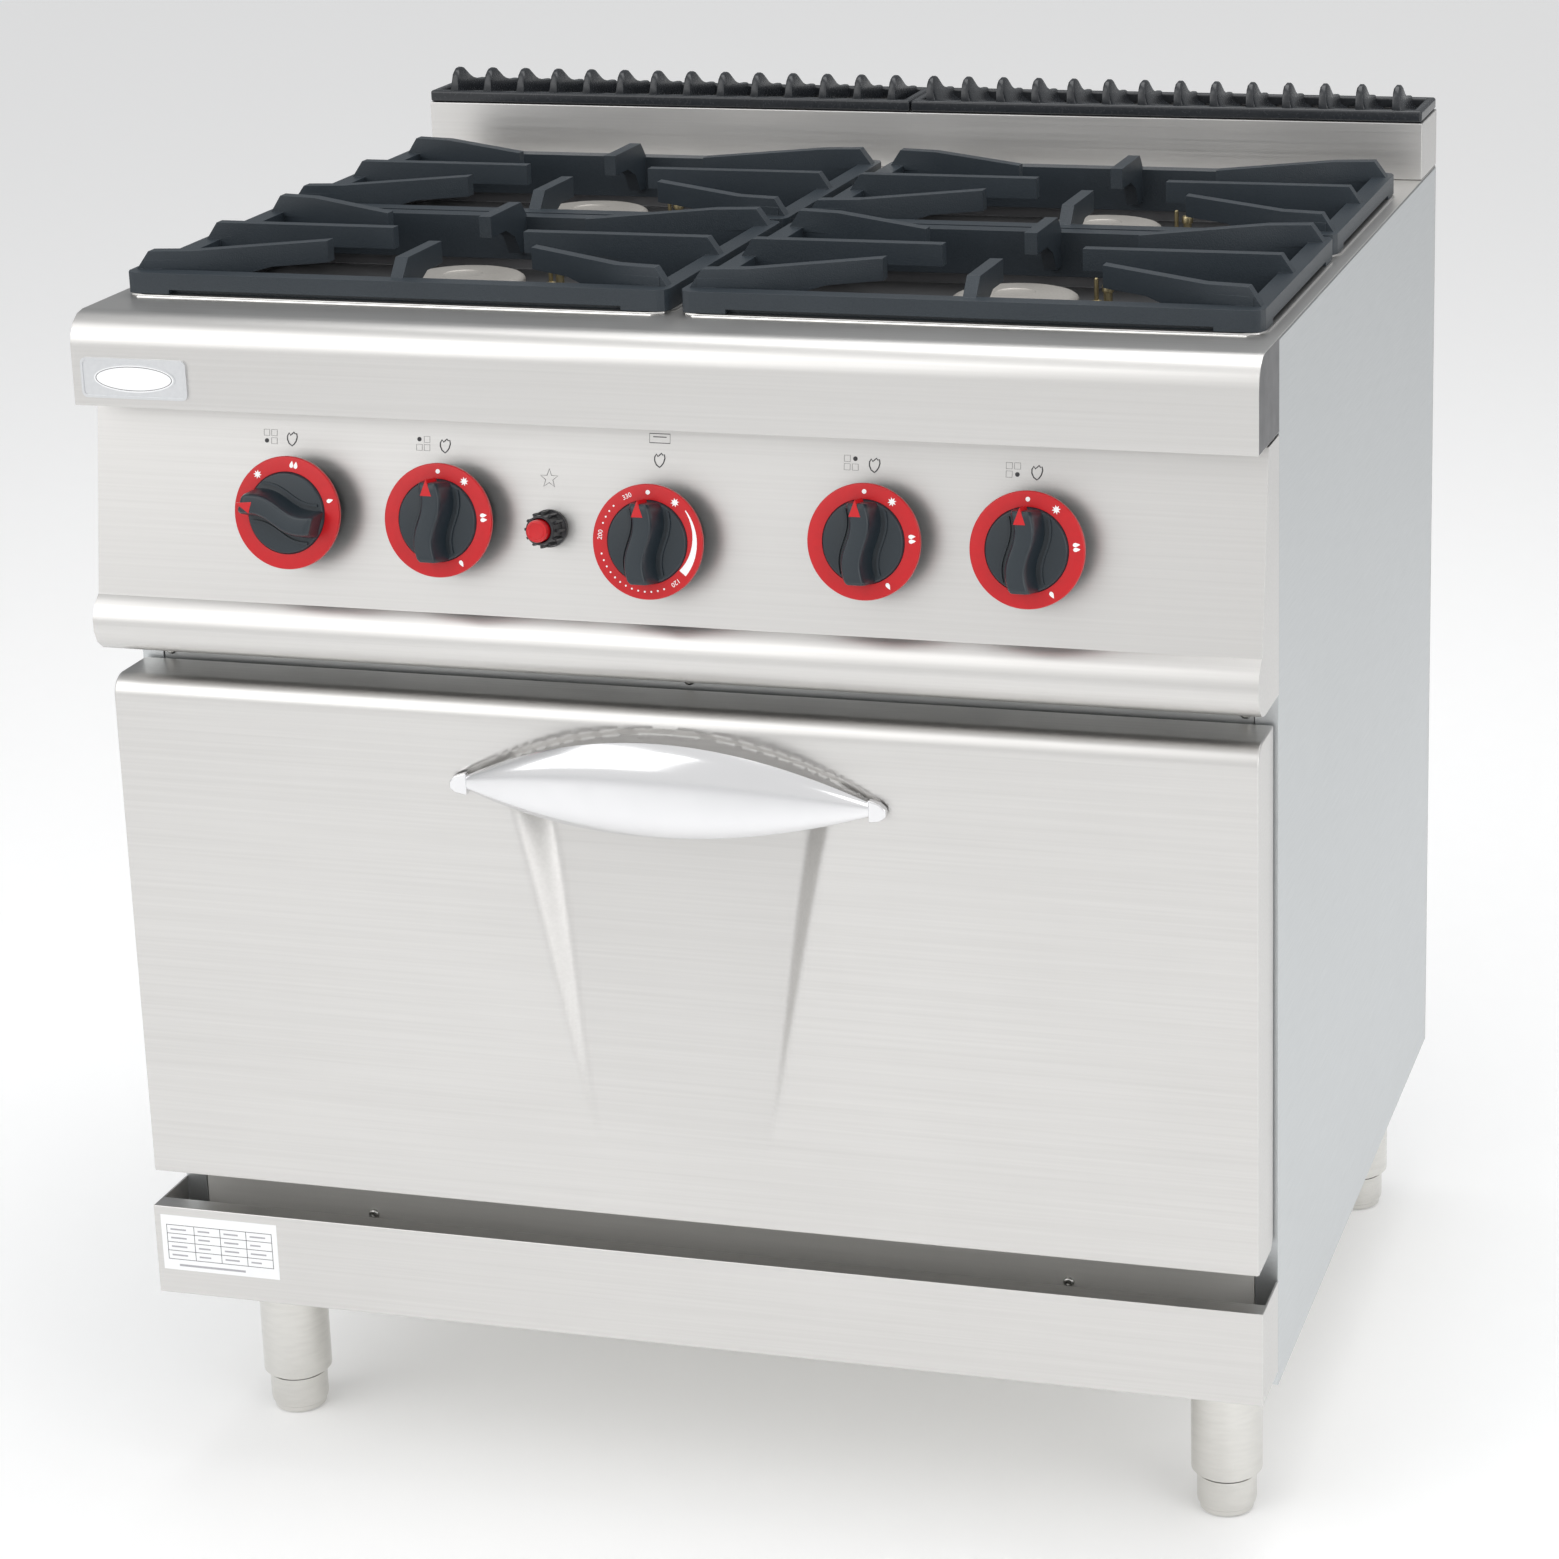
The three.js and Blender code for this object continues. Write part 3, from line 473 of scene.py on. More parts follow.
# Turns a shape made on +Z so that it faces the front or the rear.
FACING_FRONT = BODY @ Matrix.Rotation(math.radians(90), 4, "X")
FACING_REAR = BODY @ Matrix.Rotation(math.radians(-90), 4, "X")


def screw_head(place, radius=4.0, height=2.2):
    """A pan-head screw with a round recess, standing on its own Z."""
    return turned("screw", [
        (0, 0.6 * height), (0.3 * radius, 0.6 * height), (0.34 * radius, height), (0.62 * radius, height),
        (0.9 * radius, 0.72 * height), (radius, 0.3 * height), (radius, 0), (0, 0),
    ], 20, place)


mill_steel = brushed("mill_steel", (0.56, 0.57, 0.57), (0.42, 0.43, 0.43), (12, 120, 120), 0.42, 0.12)
screw_steel = brushed("screw_steel", (0.66, 0.66, 0.64), (0.5, 0.5, 0.48), (300, 300, 300), 0.22, 0.0)
dress("rear_panel", 0.3, mill_steel)
FACE_FRAME = -283.2
FLUSH_HEAD = FACING_REAR @ Matrix.Scale(0.35, 4, (0, 0, 1))
for name, head, count, first, step in (
    ("rear_screws_left", screw_head(FLUSH_HEAD, 3.6, 2.0), 6, (-391, 349.3, 160), (0, 0, 130)),
    ("rear_screws_right", screw_head(FLUSH_HEAD, 3.6, 2.0), 6, (391, 349.3, 160), (0, 0, 130)),
    ("trough_screws", screw_head(FACING_FRONT), 2, (-255, FACE_FRAME, 188), (510, 0, 0)),
    ("face_frame_screws", screw_head(FACING_FRONT), 3, (-378, FACE_FRAME, 602), (378, 0, 0)),
):
    settle(row_of(name, head, count, first, step, screw_steel), screw_steel)

# ---- Legs and feet ------------------------------------------------------------------------------
# Polished round stainless tubes under a round fixing plate. Each levelling foot screws up into its leg.
leg_steel = brushed("leg_steel", (0.76, 0.75, 0.72), (0.6, 0.59, 0.56), (60, 60, 300), 0.16, 0.03)
LEG_PROFILE = [
    (0, 116), (21.6, 116), (21.6, 31), (22.4, 30), (24.2, 30), (25, 31), (25, 118), (26, 121.5), (35, 122.5),
    (36, 123.5), (36, 127), (0, 127),
]
FOOT_PROFILE = [
    (0, 80), (20.6, 80), (21, 79.5), (21, 29), (20.4, 28.5), (20.4, 27.5), (21, 27), (21, 8), (20.6, 6),
    (19.6, 4.4), (19, 4), (19, 1), (18, 0), (0, 0),
]
for row, y in (("front", -224), ("rear", 300)):
    for side, x in (("left", -352), ("right", 352)):
        ends = f"{row}_{side}"
        leg = ease_edges(turned("leg_tube_" + ends, LEG_PROFILE, 64, about=(x, y)), 0)
        settle(leg, leg_steel, "chassis", "leg_" + ends)
        foot = ease_edges(turned("levelling_foot_" + ends, FOOT_PROFILE, 64, about=(x, y)), 0)
        settle(foot, leg_steel, "foot_" + ends, "foot_" + ends)

# ---- Plinth -------------------------------------------------------------------------------------
# A folded kick panel with a lipped top edge and closed ends, pale brushed stainless like the door.
# A white ruled data label with nothing printed in its boxes is stuck on its left end.
front_steel = brushed(
    "front_steel", (0.7, 0.69, 0.675), (0.58, 0.57, 0.555), (5, 500, 500), 0.31, 0.05,
    bump=(0.06, 0.0002),
)
# The base pan takes a paler, half-metallic copy of the steel: painted light that brightens the trough behind
# the plinth.
painted_light_pan_steel = brushed(
    "painted_light_pan_steel", (0.78, 0.77, 0.74), (0.62, 0.61, 0.58), (8, 160, 160), 0.45, 0.1, metallic=0.45,
)
dress("base_pan", 0.3, painted_light_pan_steel)
dress("plinth", 1.0, front_steel, segments=3)


def make_print_group():
    """Printed or moulded surface of one colour, with a faint unevenness."""
    group, given, made, place = shader_group("printed_surface", ("Mottle Scale", "NodeSocketFloat"))
    mottle = add_noise(group, place, given["Mottle Scale"], 3)
    colour = add_colour_mix(group, mottle, given["Tint"], given["Shade"])
    rough = add_math(group, "MULTIPLY_ADD", mottle, 0.1, given["Base Roughness"])
    return give_finish(group, made, colour, rough, mottle)


print_group = make_print_group()


def printed(name, tint, shade, mottle, roughness):
    return finish(name, print_group, tint, shade, roughness, {"Mottle Scale": mottle}, 0.0)


label_white = printed("label_white", (0.9, 0.9, 0.91), (0.82, 0.83, 0.84), 90, 0.45)
ink = printed("ink", (0.03, 0.03, 0.035), (0.07, 0.07, 0.075), 400, 0.5)
pale_ink = printed("pale_ink", (0.34, 0.34, 0.36), (0.44, 0.44, 0.46), 400, 0.5)


def coated(piece, look):
    piece.data.materials.append(look)
    return piece


def box_piece(name, x0, x1, y0, y1, z0, z1):
    return prism(name, [(x0, y0), (x1, y0), (x1, y1), (x0, y1)], z0, z1, "z")


def rating_label():
    left, right, low, high, front = -395, -306, 156, 198, -337
    parts = [coated(box_piece("sheet", left, right, front - 0.18, front, low, high), label_white)]
    rules = [(left + 4, right - 4, low + 8 + 6.6 * row, low + 8.4 + 6.6 * row) for row in range(5)]
    for column in (left + 4, left + 25, left + 45, left + 65, right - 4.4):
        rules.append((column, column + 0.4, low + 8, low + 34.8))
    dashes = [(left + 12, right - 26, low + 3.0, low + 4.6)]
    for row in range(4):
        for column, length in ((left + 7, 12), (left + 28, 9), (left + 48, 11), (left + 68, 8 + row % 2 * 4)):
            dashes.append((column, column + length, low + 10.8 + 6.6 * row, low + 12.0 + 6.6 * row))
    for lines, look in ((rules, ink), (dashes, pale_ink)):
        for x0, x1, z0, z1 in lines:
            parts.append(coated(box_piece("line", x0, x1, front - 0.24, front - 0.1, z0, z1), look))
    return joined("rating_label", parts)


settle(rating_label(), label_white)

# ---- Worktop ------------------------------------------------------------------------------------
# One sheet with a rolled front nose, a short apron below it and a pressed spill well under each trivet, whose
# floor is a darker steel as painted shade. A polished bead runs along the front of each raised seat, its
# extra-bright steel a painted highlight, and a blank name plate is fixed to the apron.
# The wells' floors take a darker copy of the steel: painted shade under the trivets.
painted_shade_well_steel = brushed("painted_shade_well_steel", (0.2, 0.2, 0.205), (0.12, 0.12, 0.125), (60, 60, 60), 0.38, 0.1)
worktop = cad_copy("worktop", 0.5)
for look in (front_steel, painted_shade_well_steel):
    worktop.data.materials.append(look)
for face in worktop.data.polygons:
    in_shaded_well = face.center.z < 0.8496 and (BODY.inverted() @ face.center).y > -288
    face.material_index = 1 if in_shaded_well else 0
settle(worktop, front_steel, "chassis", "worktop")
BURNER_PLACES = [
    ("front_left", -197, -160), ("front_right", 197, -160), ("rear_left", -197, 94), ("rear_right", 197, 94),
]
# The beads' steel is brighter than the sheet's: a painted highlight along the seats' front edges.
painted_highlight_bead_steel = brushed("painted_highlight_bead_steel", (0.9, 0.89, 0.86), (0.8, 0.79, 0.76), (5, 300, 300), 0.2, 0.0)
for name, x, y in BURNER_PLACES[:2]:
    section = [(y - 128.9, 850), (y - 128.6, 850.7), (y - 128.0, 851.0), (y - 127.4, 850.7), (y - 127.1, 850)]
    bead = ease_edges(prism("seat_bead_" + name, section, x - 183, x + 183), 0.1, 1)
    settle(bead, painted_highlight_bead_steel)


def rounded_outline(x0, x1, z0, z1, radius, steps=6):
    points = []
    for centre_x, centre_z, quarter in (
        (x1 - radius, z0 + radius, 3), (x1 - radius, z1 - radius, 0), (x0 + radius, z1 - radius, 1),
        (x0 + radius, z0 + radius, 2),
    ):
        for step in range(steps + 1):
            angle = (quarter + step / steps) * math.pi / 2
            points.append((centre_x + radius * math.cos(angle), centre_z + radius * math.sin(angle)))
    return points


def frame_piece(name, outer, inner, start, end, upright=True):
    """A flat ring between two outlines, in (x, z) if it is upright and in (x, y) if it lies flat."""
    count = len(outer)
    points = [(u, v, along) for along in (start, end) for u, v in outer + inner]
    if upright:
        points = [(x, y, z) for x, z, y in points]
    faces = []
    for a in range(count):
        b = (a + 1) % count
        faces.append((a, b, count + b, count + a))
        faces.append((2 * count + b, 2 * count + a, 3 * count + a, 3 * count + b))
        faces.append((b, a, 2 * count + a, 2 * count + b))
        faces.append((count + a, count + b, 3 * count + b, 3 * count + a))
    return piece_from(name, points, faces)


def ellipse(half_x, half_y, steps, x=0, y=0):
    turns = [2 * math.pi * step / steps for step in range(steps)]
    return [(x + half_x * math.cos(turn), y + half_y * math.sin(turn)) for turn in turns]


plate_metal = brushed("plate_metal", (0.74, 0.75, 0.76), (0.62, 0.63, 0.65), (300, 300, 300), 0.3, 0.0)


def name_plate():
    left, right, low, high, front = -393, -317, 795, 822, -350
    border = rounded_outline(left, right, low, high, 4)
    inside = rounded_outline(left + 1.6, right - 1.6, low + 1.6, high - 1.6, 3)
    plate = prism("plate", border, front - 1.1, front, "y")
    rim = frame_piece("rim", border, inside, front - 1.7, front - 1)
    rings = [(30, 10.2), (28.8, 9.2), (27.6, 8.2), (27.1, 7.8)]
    edge, field, line_out, line_in = [ellipse(*half, 48, -355, 808.5) for half in rings]
    oval = frame_piece("oval", edge, field, front - 1.5, front - 1)
    face = prism("face", field, front - 1.2, front - 1, "y")
    line = frame_piece("line", line_out, line_in, front - 1.25, front - 1.1)
    parts = [coated(part, plate_metal) for part in (plate, rim, oval)]
    parts += [coated(face, label_white), coated(line, ink)]
    return joined("name_plate", parts)


settle(name_plate(), plate_metal)

# ---- Riser --------------------------------------------------------------------------------------
# The folded flue box along the back of the worktop, open at the top under the flue grates.
dress("riser", 1.0, front_steel)


# ---- Flue grates --------------------------------------------------------------------------------
# Two gloss black enamelled castings end to end: a rectangular frame crossed by ribs. Each rib stands highest
# at the front and flares at its foot.
def make_cast_group():
    """Enamelled casting: a fine sandy skin with soft patches where the enamel lies thicker."""
    group, given, made, place = shader_group("enamelled_casting", ("Grain Scale", "NodeSocketFloat"))
    grain = add_noise(group, place, given["Grain Scale"], 2)
    patch = add_noise(group, place, 14, 3)
    mix = add_math(group, "MULTIPLY_ADD", grain, 0.5, add_math(group, "MULTIPLY", patch, 0.5))
    colour = add_colour_mix(group, mix, given["Tint"], given["Shade"])
    rough = add_math(group, "MULTIPLY_ADD", grain, 0.18, given["Base Roughness"])
    return give_finish(group, made, colour, rough, grain)


cast_group = make_cast_group()


def enamelled(name, tint, shade, grain, roughness, bump, metallic=0.0, **constants):
    own = {"Grain Scale": grain}
    return finish(name, cast_group, tint, shade, roughness, own, metallic, bump, **constants)


flue_enamel = enamelled(
    "flue_enamel", (0.012, 0.014, 0.017), (0.03, 0.033, 0.038), 500, 0.16, (0.12, 0.0006),
)


def loft(name, sections, place):
    """A closed skin over cross-sections that all have the same number of points."""
    count = len(sections[0])
    points = [point for section in sections for point in section]
    faces = [tuple(range(count - 1, -1, -1)), tuple(range(len(points) - count, len(points)))]
    for index in range(len(sections) - 1):
        for corner in range(count):
            a, b = index * count + corner, index * count + (corner + 1) % count
            faces.append((a, b, b + count, a + count))
    return piece_from(name, points, faces, place)


FIN_HEIGHTS = [
    (282.6, 9.0), (283.4, 16.5), (286, 21.6), (290, 24.4), (296, 24.8), (301, 23.4), (306, 20.2), (312, 16.4),
    (320, 13.0), (330, 10.6), (344, 9.4),
]


def flue_grate(side, sign):
    end, front, rear, low = 399.5, 279.5, 349, 893.3
    outer = [(0.5, front), (end, front), (end, rear), (0.5, rear)]
    inner = [(7, front + 7.5), (end - 7, front + 7.5), (end - 7, rear - 7), (7, rear - 7)]
    outer, inner = ([(sign * x, y) for x, y in ring] for ring in (outer, inner))
    bevelled = ease_edges(frame_piece("rails", outer, inner, low, low + 9, upright=False), 2.0, 3)
    sections = []
    for y, height in FIN_HEIGHTS:
        flare = 10.5 if y < 330 else 7.0
        section = [
            (-flare, 0), (-0.52 * flare, 0.10), (-0.24 * flare, 0.30), (-0.07 * flare, 0.62), (0.1, 0.93),
            (1.3, 1.0), (4.0, 1.0), (5.4, 0.93), (5.8, 0.5), (6.2, 0),
        ]
        sections.append([(-sign * x, y, 894.5 + height * rise) for x, rise in section[::sign]])
    rib = ease_edges(loft("rib", sections, BODY), 0)
    ribs = row_of("ribs", rib, 14, (sign * 18, 0, 0), (sign * 28, 0, 0), flue_enamel)
    bevelled.data.materials.append(flue_enamel)
    return joined("flue_casting_" + side, [bevelled, ribs])


for side, sign in (("left", -1), ("right", 1)):
    settle(flue_grate(side, sign), flue_enamel, "chassis", "flue_grate_" + side)

# ---- Control panel ------------------------------------------------------------------------------
# A sloping sheet with closed ends and a half-round rail rolled along its foot. Its signs are printed in
# black: a square of four for each burner with its own dot filled, a flame, an oven pictogram and a spark.
dress("control_panel", 0.5, front_steel)
PANEL_SLOPE = math.atan2(22, 129)


def on_panel(x, z, turn=0.0):
    """The place of a shape made on its own Z, standing square on the panel at (x, z) and turned about Z."""
    normal = Vector((0, -math.cos(PANEL_SLOPE), math.sin(PANEL_SLOPE)))
    upward = Vector((0, math.sin(PANEL_SLOPE), math.cos(PANEL_SLOPE)))
    axes = Matrix((Vector((1, 0, 0)), upward, normal)).transposed().to_4x4()
    foot = Matrix.Translation(BODY @ Vector((x, -340 + (z - 658) * math.tan(PANEL_SLOPE), z)))
    return foot @ axes @ Matrix.Rotation(turn, 4, "Z") @ Matrix.Scale(0.001, 4)


def stroke(path, width, low, high, place, closed=False):
    """A line of even width along a path of (x, y) points, as one flat strip."""
    count = len(path)
    points = []
    for index, (x, y) in enumerate(path):
        before = path[index - 1] if closed or index else path[0]
        after = path[(index + 1) % count] if closed or index < count - 1 else path[-1]
        along = Vector((after[0] - before[0], after[1] - before[1]))
        aside = Vector((-along.y, along.x)).normalized() * width / 2
        for z in (low, high):
            points += [(x + aside.x, y + aside.y, z), (x - aside.x, y - aside.y, z)]
    faces = []
    for index in range(count if closed else count - 1):
        a, b = 4 * index, 4 * ((index + 1) % count)
        faces += [(a + 2, b + 2, b + 3, a + 3), (a, a + 1, b + 1, b)]
        faces += [(a, b, b + 2, a + 2), (a + 1, a + 3, b + 3, b + 1)]
    if not closed:
        last = 4 * (count - 1)
        faces += [(0, 2, 3, 1), (last, last + 1, last + 3, last + 2)]
    return piece_from("stroke", points, faces, place)


def spot(x, y, radius, low, high, place, steps=16):
    return turned("spot", [(0, low), (radius, low), (radius, high), (0, high)], steps, place, (x, y))


FLAME_PATH = [
    (0, -4.6), (-2.2, -3.0), (-3.4, -0.4), (-3.4, 2.0), (-2.2, 4.0), (-1.2, 2.4), (0.2, 3.6), (1.2, 4.6),
    (2.2, 3.4), (3.2, 3.8), (3.6, 1.4), (2.8, -1.4), (1.4, -3.4),
]


def spark(radius, tips, inner):
    points = []
    for index in range(2 * tips):
        reach = radius if index % 2 == 0 else radius * inner
        angle = math.pi * index / tips
        points.append((reach * math.sin(angle), reach * math.cos(angle)))
    return points


def panel_prints():
    low, high = 0.03, 0.12
    parts = []
    for x, burner in ((-265, (0, 0)), (-156, (0, 1)), (138, (1, 1)), (245, (1, 0))):
        place = on_panel(x - 8.5, 766)
        for column, line in ((0, 0), (0, 1), (1, 0), (1, 1)):
            centre = (column * 5.4 - 2.7, line * 5.4 - 2.7)
            if (column, line) == burner:
                parts.append(spot(*centre, 1.5, low, high, place))
                continue
            square = [(centre[0] + u, centre[1] + v) for u, v in ((-2, -2), (2, -2), (2, 2), (-2, 2))]
            parts.append(stroke(square, 0.22, low, high, place, True))
        parts.append(stroke(FLAME_PATH, 0.75, low, high, on_panel(x + 7, 765), True))
    parts.append(stroke(FLAME_PATH, 0.75, low, high, on_panel(0, 762), True))
    oven = on_panel(0, 776)
    parts.append(stroke([(-7, -3), (7, -3), (7, 3), (-7, 3)], 0.5, low, high, oven, True))
    parts.append(stroke([(-4.6, 0.9), (4.6, 0.9)], 0.6, low, high, oven))
    parts.append(stroke(spark(6.5, 5, 0.4), 0.3, low, high, on_panel(-76, 747), True))
    return joined("panel_prints", parts)


settle(panel_prints(), ink)

# ---- Gas train ----------------------------------------------------------------------------------
# A zinc-coated manifold pipe behind the panel, with a brass tap for each burner and the oven's thermostat.
# Each has a bent supply pipe and a round spindle that comes out through the panel.
brass = brushed("brass", (0.52, 0.44, 0.26), (0.36, 0.3, 0.17), (90, 90, 90), 0.32, 0.06)
zinc = brushed("zinc", (0.55, 0.56, 0.56), (0.38, 0.39, 0.4), (30, 30, 30), 0.45, 0.2)
dress("gas_manifold", 0, zinc)
CONTROLS = [
    ("front_left", -252, 718.5, math.radians(75)), ("rear_left", -145, 718.5, 0.0), ("oven", 0, 711.5, 0.0),
    ("rear_right", 145, 718.5, 0.0), ("front_right", 252, 718.5, 0.0),
]
for name, x, z, turn in CONTROLS:
    dress("valve_" + name, 0, brass)
    rod = [(0, -12), (4, -12), (4, 20.4), (3.4, 21), (0, 21)]
    spindle = ease_edges(turned("spindle_rod_" + name, rod, 24, on_panel(x, z)), 0)
    settle(spindle, brass, "spindle_" + name, "spindle_" + name)

# ---- Knobs --------------------------------------------------------------------------------------
# Each is a black moulding, a round barrel with a waved grip bar across its face, in a red dial ring with a
# red pointer. The ring's signs are printed in white: off, spark and flames, or the oven's temperatures.
knob_plastic = enamelled(
    "knob_plastic", (0.01, 0.016, 0.022), (0.02, 0.03, 0.038), 1500, 0.26, (0.1, 0.0002),
)
dial_red = printed("dial_red", (0.56, 0.004, 0.009), (0.47, 0.003, 0.007), 200, 0.28)
print_white = printed("print_white", (0.92, 0.92, 0.92), (0.84, 0.84, 0.84), 300, 0.45)
GRIP_TOP = 41.8


def grip_wave(y):
    return 2.6 * math.sin(math.pi * y / 25)


def knob_moulding(name, place):
    barrel = turned("barrel", [
        (0, 21.6), (4.4, 21.6), (4.4, 5), (29.2, 5), (30.2, 5.6), (31, 14), (33.6, 16.6), (36.2, 17.8),
        (36.8, 18.2), (36.8, 21.2), (27.6, 21.4), (27.0, 22), (26.6, 23.4), (25.6, 24.2), (0, 24.6),
    ], 72, place)
    sections = []
    for step in range(25):
        y = -26 + 52 * step / 24
        middle = grip_wave(y)
        end = min(1.0, (26.6 - abs(y)) / 2.4)
        top = 24 + (GRIP_TOP - 24) * (0.90 + 0.10 * end)
        half = 6.2 * (0.86 + 0.14 * end)
        base = 9.6 * (0.80 + 0.20 * end)
        side = [(-base, 23.6), (-half - 0.9, top - 3.4), (-half + 0.4, top - 0.7), (-half + 1.8, top)]
        side += [(-across, z) for across, z in side[::-1]]
        sections.append([(middle + across, y, z) for across, z in side])
    bar = loft("bar", sections[::-1], place)
    creases = []
    for side in (-1, 1):
        path = []
        for step in range(19):
            y = -21 + 42 * step / 18
            reach = min(13.2, math.sqrt(max(25.4 ** 2 - y * y, 1)))
            path.append((grip_wave(y) + side * reach, y))
        creases.append(stroke(path, 1.6, 23.6, 25.6, place))
    return joined(name, [barrel, ease_edges(bar, 0.5, 2)] + creases)


def letters(text, height, x, y, turn, low, high, place):
    """Raised characters in the plain built-in typeface, centred at (x, y)."""
    curve = bpy.data.curves.new("letters", "FONT")
    curve.body = text
    curve.size = height
    curve.align_x = "CENTER"
    curve.align_y = "CENTER"
    curve.extrude = (high - low) / 2
    curve.resolution_u = 3
    item = put_in_scene("letters", curve)
    mesh = bpy.data.meshes.new_from_object(item.evaluated_get(bpy.context.evaluated_depsgraph_get()))
    bpy.data.objects.remove(item)
    spot_place = Matrix.Translation((x, y, (low + high) / 2)) @ Matrix.Rotation(turn, 4, "Z")
    mesh.transform(place @ spot_place)
    return put_in_scene("letters", mesh)


DROP = [(0, 2.6), (-0.8, 1.2), (-1.35, -0.3), (-1.1, -1.6), (0, -2.2), (1.1, -1.6), (1.35, -0.3), (0.8, 1.2)]


def dial_marks(kind, place):
    """Flat shapes on the dial, each at a clock angle in degrees with its top outwards."""
    low, high, middle = 21.9, 22.12, 32.2
    shapes = [(spark(3.0, 8, 0.5), 35, 0), (ellipse(1.5, 1.5, 16), 0, 0)]
    if kind == "oven":
        clocks = list(range(158, 262, 8)) + [290, 298, 306, 314]
        shapes += [(ellipse(0.65, 0.65, 8), clock, 0) for clock in clocks]
    else:
        shapes += [(DROP, 84, -1.5), (DROP, 84, 1.5), (DROP, 148, 0)]
    marks = []
    for outline, clock, aside in shapes:
        turn = Matrix.Rotation(math.radians(-clock), 4, "Z") @ Matrix.Translation((aside, middle, 0))
        marks.append(prism("mark", outline, low, high, "z", place @ turn))
    if kind != "oven":
        return marks
    sweep = [(step, math.radians(50 + 78 * step / 16)) for step in range(17)]
    wedge = [(33.8 * math.sin(clock), 33.8 * math.cos(clock)) for _, clock in sweep]
    for step, clock in sweep[::-1]:
        reach = 33.2 - 5.0 * step / 16
        wedge.append((reach * math.sin(clock), reach * math.cos(clock)))
    marks.append(prism("wedge", wedge, low, high, "z", place))
    for clock, text in ((142, "120"), (276, "200"), (334, "330")):
        angle = math.radians(clock)
        where = (middle * math.sin(angle), middle * math.cos(angle))
        marks.append(letters(text, 4.4, *where, -angle, low, high, place))
    return marks


def knob_dial(name, kind, place):
    ring = turned("ring", [
        (27.6, 21.4), (27.4, 21.9), (27.6, 22), (36.6, 22), (37.3, 21.5), (37.5, 20.8), (37.5, 18.8),
        (37.1, 18.2), (36.85, 18.2), (36.85, 21.3), (27.6, 21.4),
    ], 96, place)
    top = grip_wave(24)
    pointer = prism("pointer", [(top - 4.6, 17.5), (top + 3.4, 17.5), (-0.4, 28.5)], 24.5, 42.0, "z", place)
    parts = [coated(ring, dial_red), coated(ease_edges(pointer, 0.3, 2), dial_red)]
    parts += [coated(mark, print_white) for mark in dial_marks(kind, place)]
    return joined(name, parts)


for name, x, z, turn in CONTROLS:
    place = on_panel(x, z, turn)
    moulding = knob_moulding(f"knob_{name}_moulding", place)
    settle(moulding, knob_plastic, "knob_" + name, "knob_" + name)
    settle(knob_dial(f"knob_{name}_dial", name, place), dial_red, "knob_" + name)

# ---- Igniter ------------------------------------------------------------------------------------
# A piezo igniter in a black ribbed collar, with a red push button standing out of it.
collar_plastic = enamelled(
    "collar_plastic", (0.012, 0.012, 0.014), (0.03, 0.03, 0.034), 1200, 0.32, (0.1, 0.0002),
)


def igniter_collar():
    place = on_panel(-75, 715)
    shell = turned("shell", [
        (0, -26), (8.6, -26), (8.6, 0.3), (12.3, 0.3), (12.5, 0.8), (12.5, 3), (11.6, 4), (10.2, 5),
        (9.6, 15), (9.9, 17), (9.6, 19.4), (9.0, 20), (8.2, 20), (7.9, 19.4), (7.9, 6), (0, 6),
    ], 48, place)
    rib = []
    for index in range(12):
        turn = Matrix.Rotation(2 * math.pi * index / 12, 4, "Z")
        outline = [(9, -1.1), (12.0, -0.8), (12.0, 0.8), (9, 1.1)]
        rib.append(prism("rib", outline, 3.4, 15.5, "z", place @ turn))
    return joined("igniter_collar", [shell] + rib, 0.2, 1)


settle(igniter_collar(), collar_plastic, "chassis", "igniter_body")
button = turned("igniter_cap", [
    (0, 12), (7.4, 12), (7.4, 24.2), (7.0, 25.2), (6.2, 25.6), (5.6, 25.5), (5.0, 24.9), (0, 24.7),
], 48, on_panel(-75, 715))
settle(ease_edges(button, 0), dial_red, "igniter_button", "igniter_button")

# ---- Burners ------------------------------------------------------------------------------------
# Cast aluminium cups with a mixing tube below the worktop, and a loose cap over a ring of flame slots.
# Beside each stand the pilot burner and the tip of the flame-failure probe, in brass.
cap_metal = enamelled(
    "cap_metal", (0.52, 0.5, 0.47), (0.38, 0.36, 0.33), 400, 0.46, (0.2, 0.0006), metallic=0.9,
)
cup_metal = enamelled(
    "cup_metal", (0.42, 0.41, 0.39), (0.3, 0.29, 0.27), 300, 0.45, (0.3, 0.0008), metallic=0.9,
)


def burner_cap(name, x, y):
    return ease_edges(turned("burner_lid_" + name, [
        (0, 836.3), (42.4, 836.3), (43, 836.9), (43, 841.5), (42.4, 842.8), (40.5, 844.2), (37, 845.2),
        (30, 845.9), (14, 846.4), (13, 845.6), (0, 845.4),
    ], 72, about=(x, y)), 0)


def flame_slots(name, x, y):
    """The ring of upright teeth between the slots."""
    steps = 144
    points, faces = [], []
    for z in (826.6, 835.9):
        for step in range(steps):
            reach = 41.6 if step % 3 else 39.4
            angle = 2 * math.pi * step / steps
            points.append((x + reach * math.cos(angle), y + reach * math.sin(angle), z))
    points += [(x, y, 826.6), (x, y, 835.9)]
    for step in range(steps):
        after = (step + 1) % steps
        faces += [
            (step, after, steps + after, steps + step),
            (2 * steps, after, step),
            (2 * steps + 1, steps + step, steps + after),
        ]
    return piece_from("burner_slots_" + name, points, faces)


WELL_FLOOR = 826.2


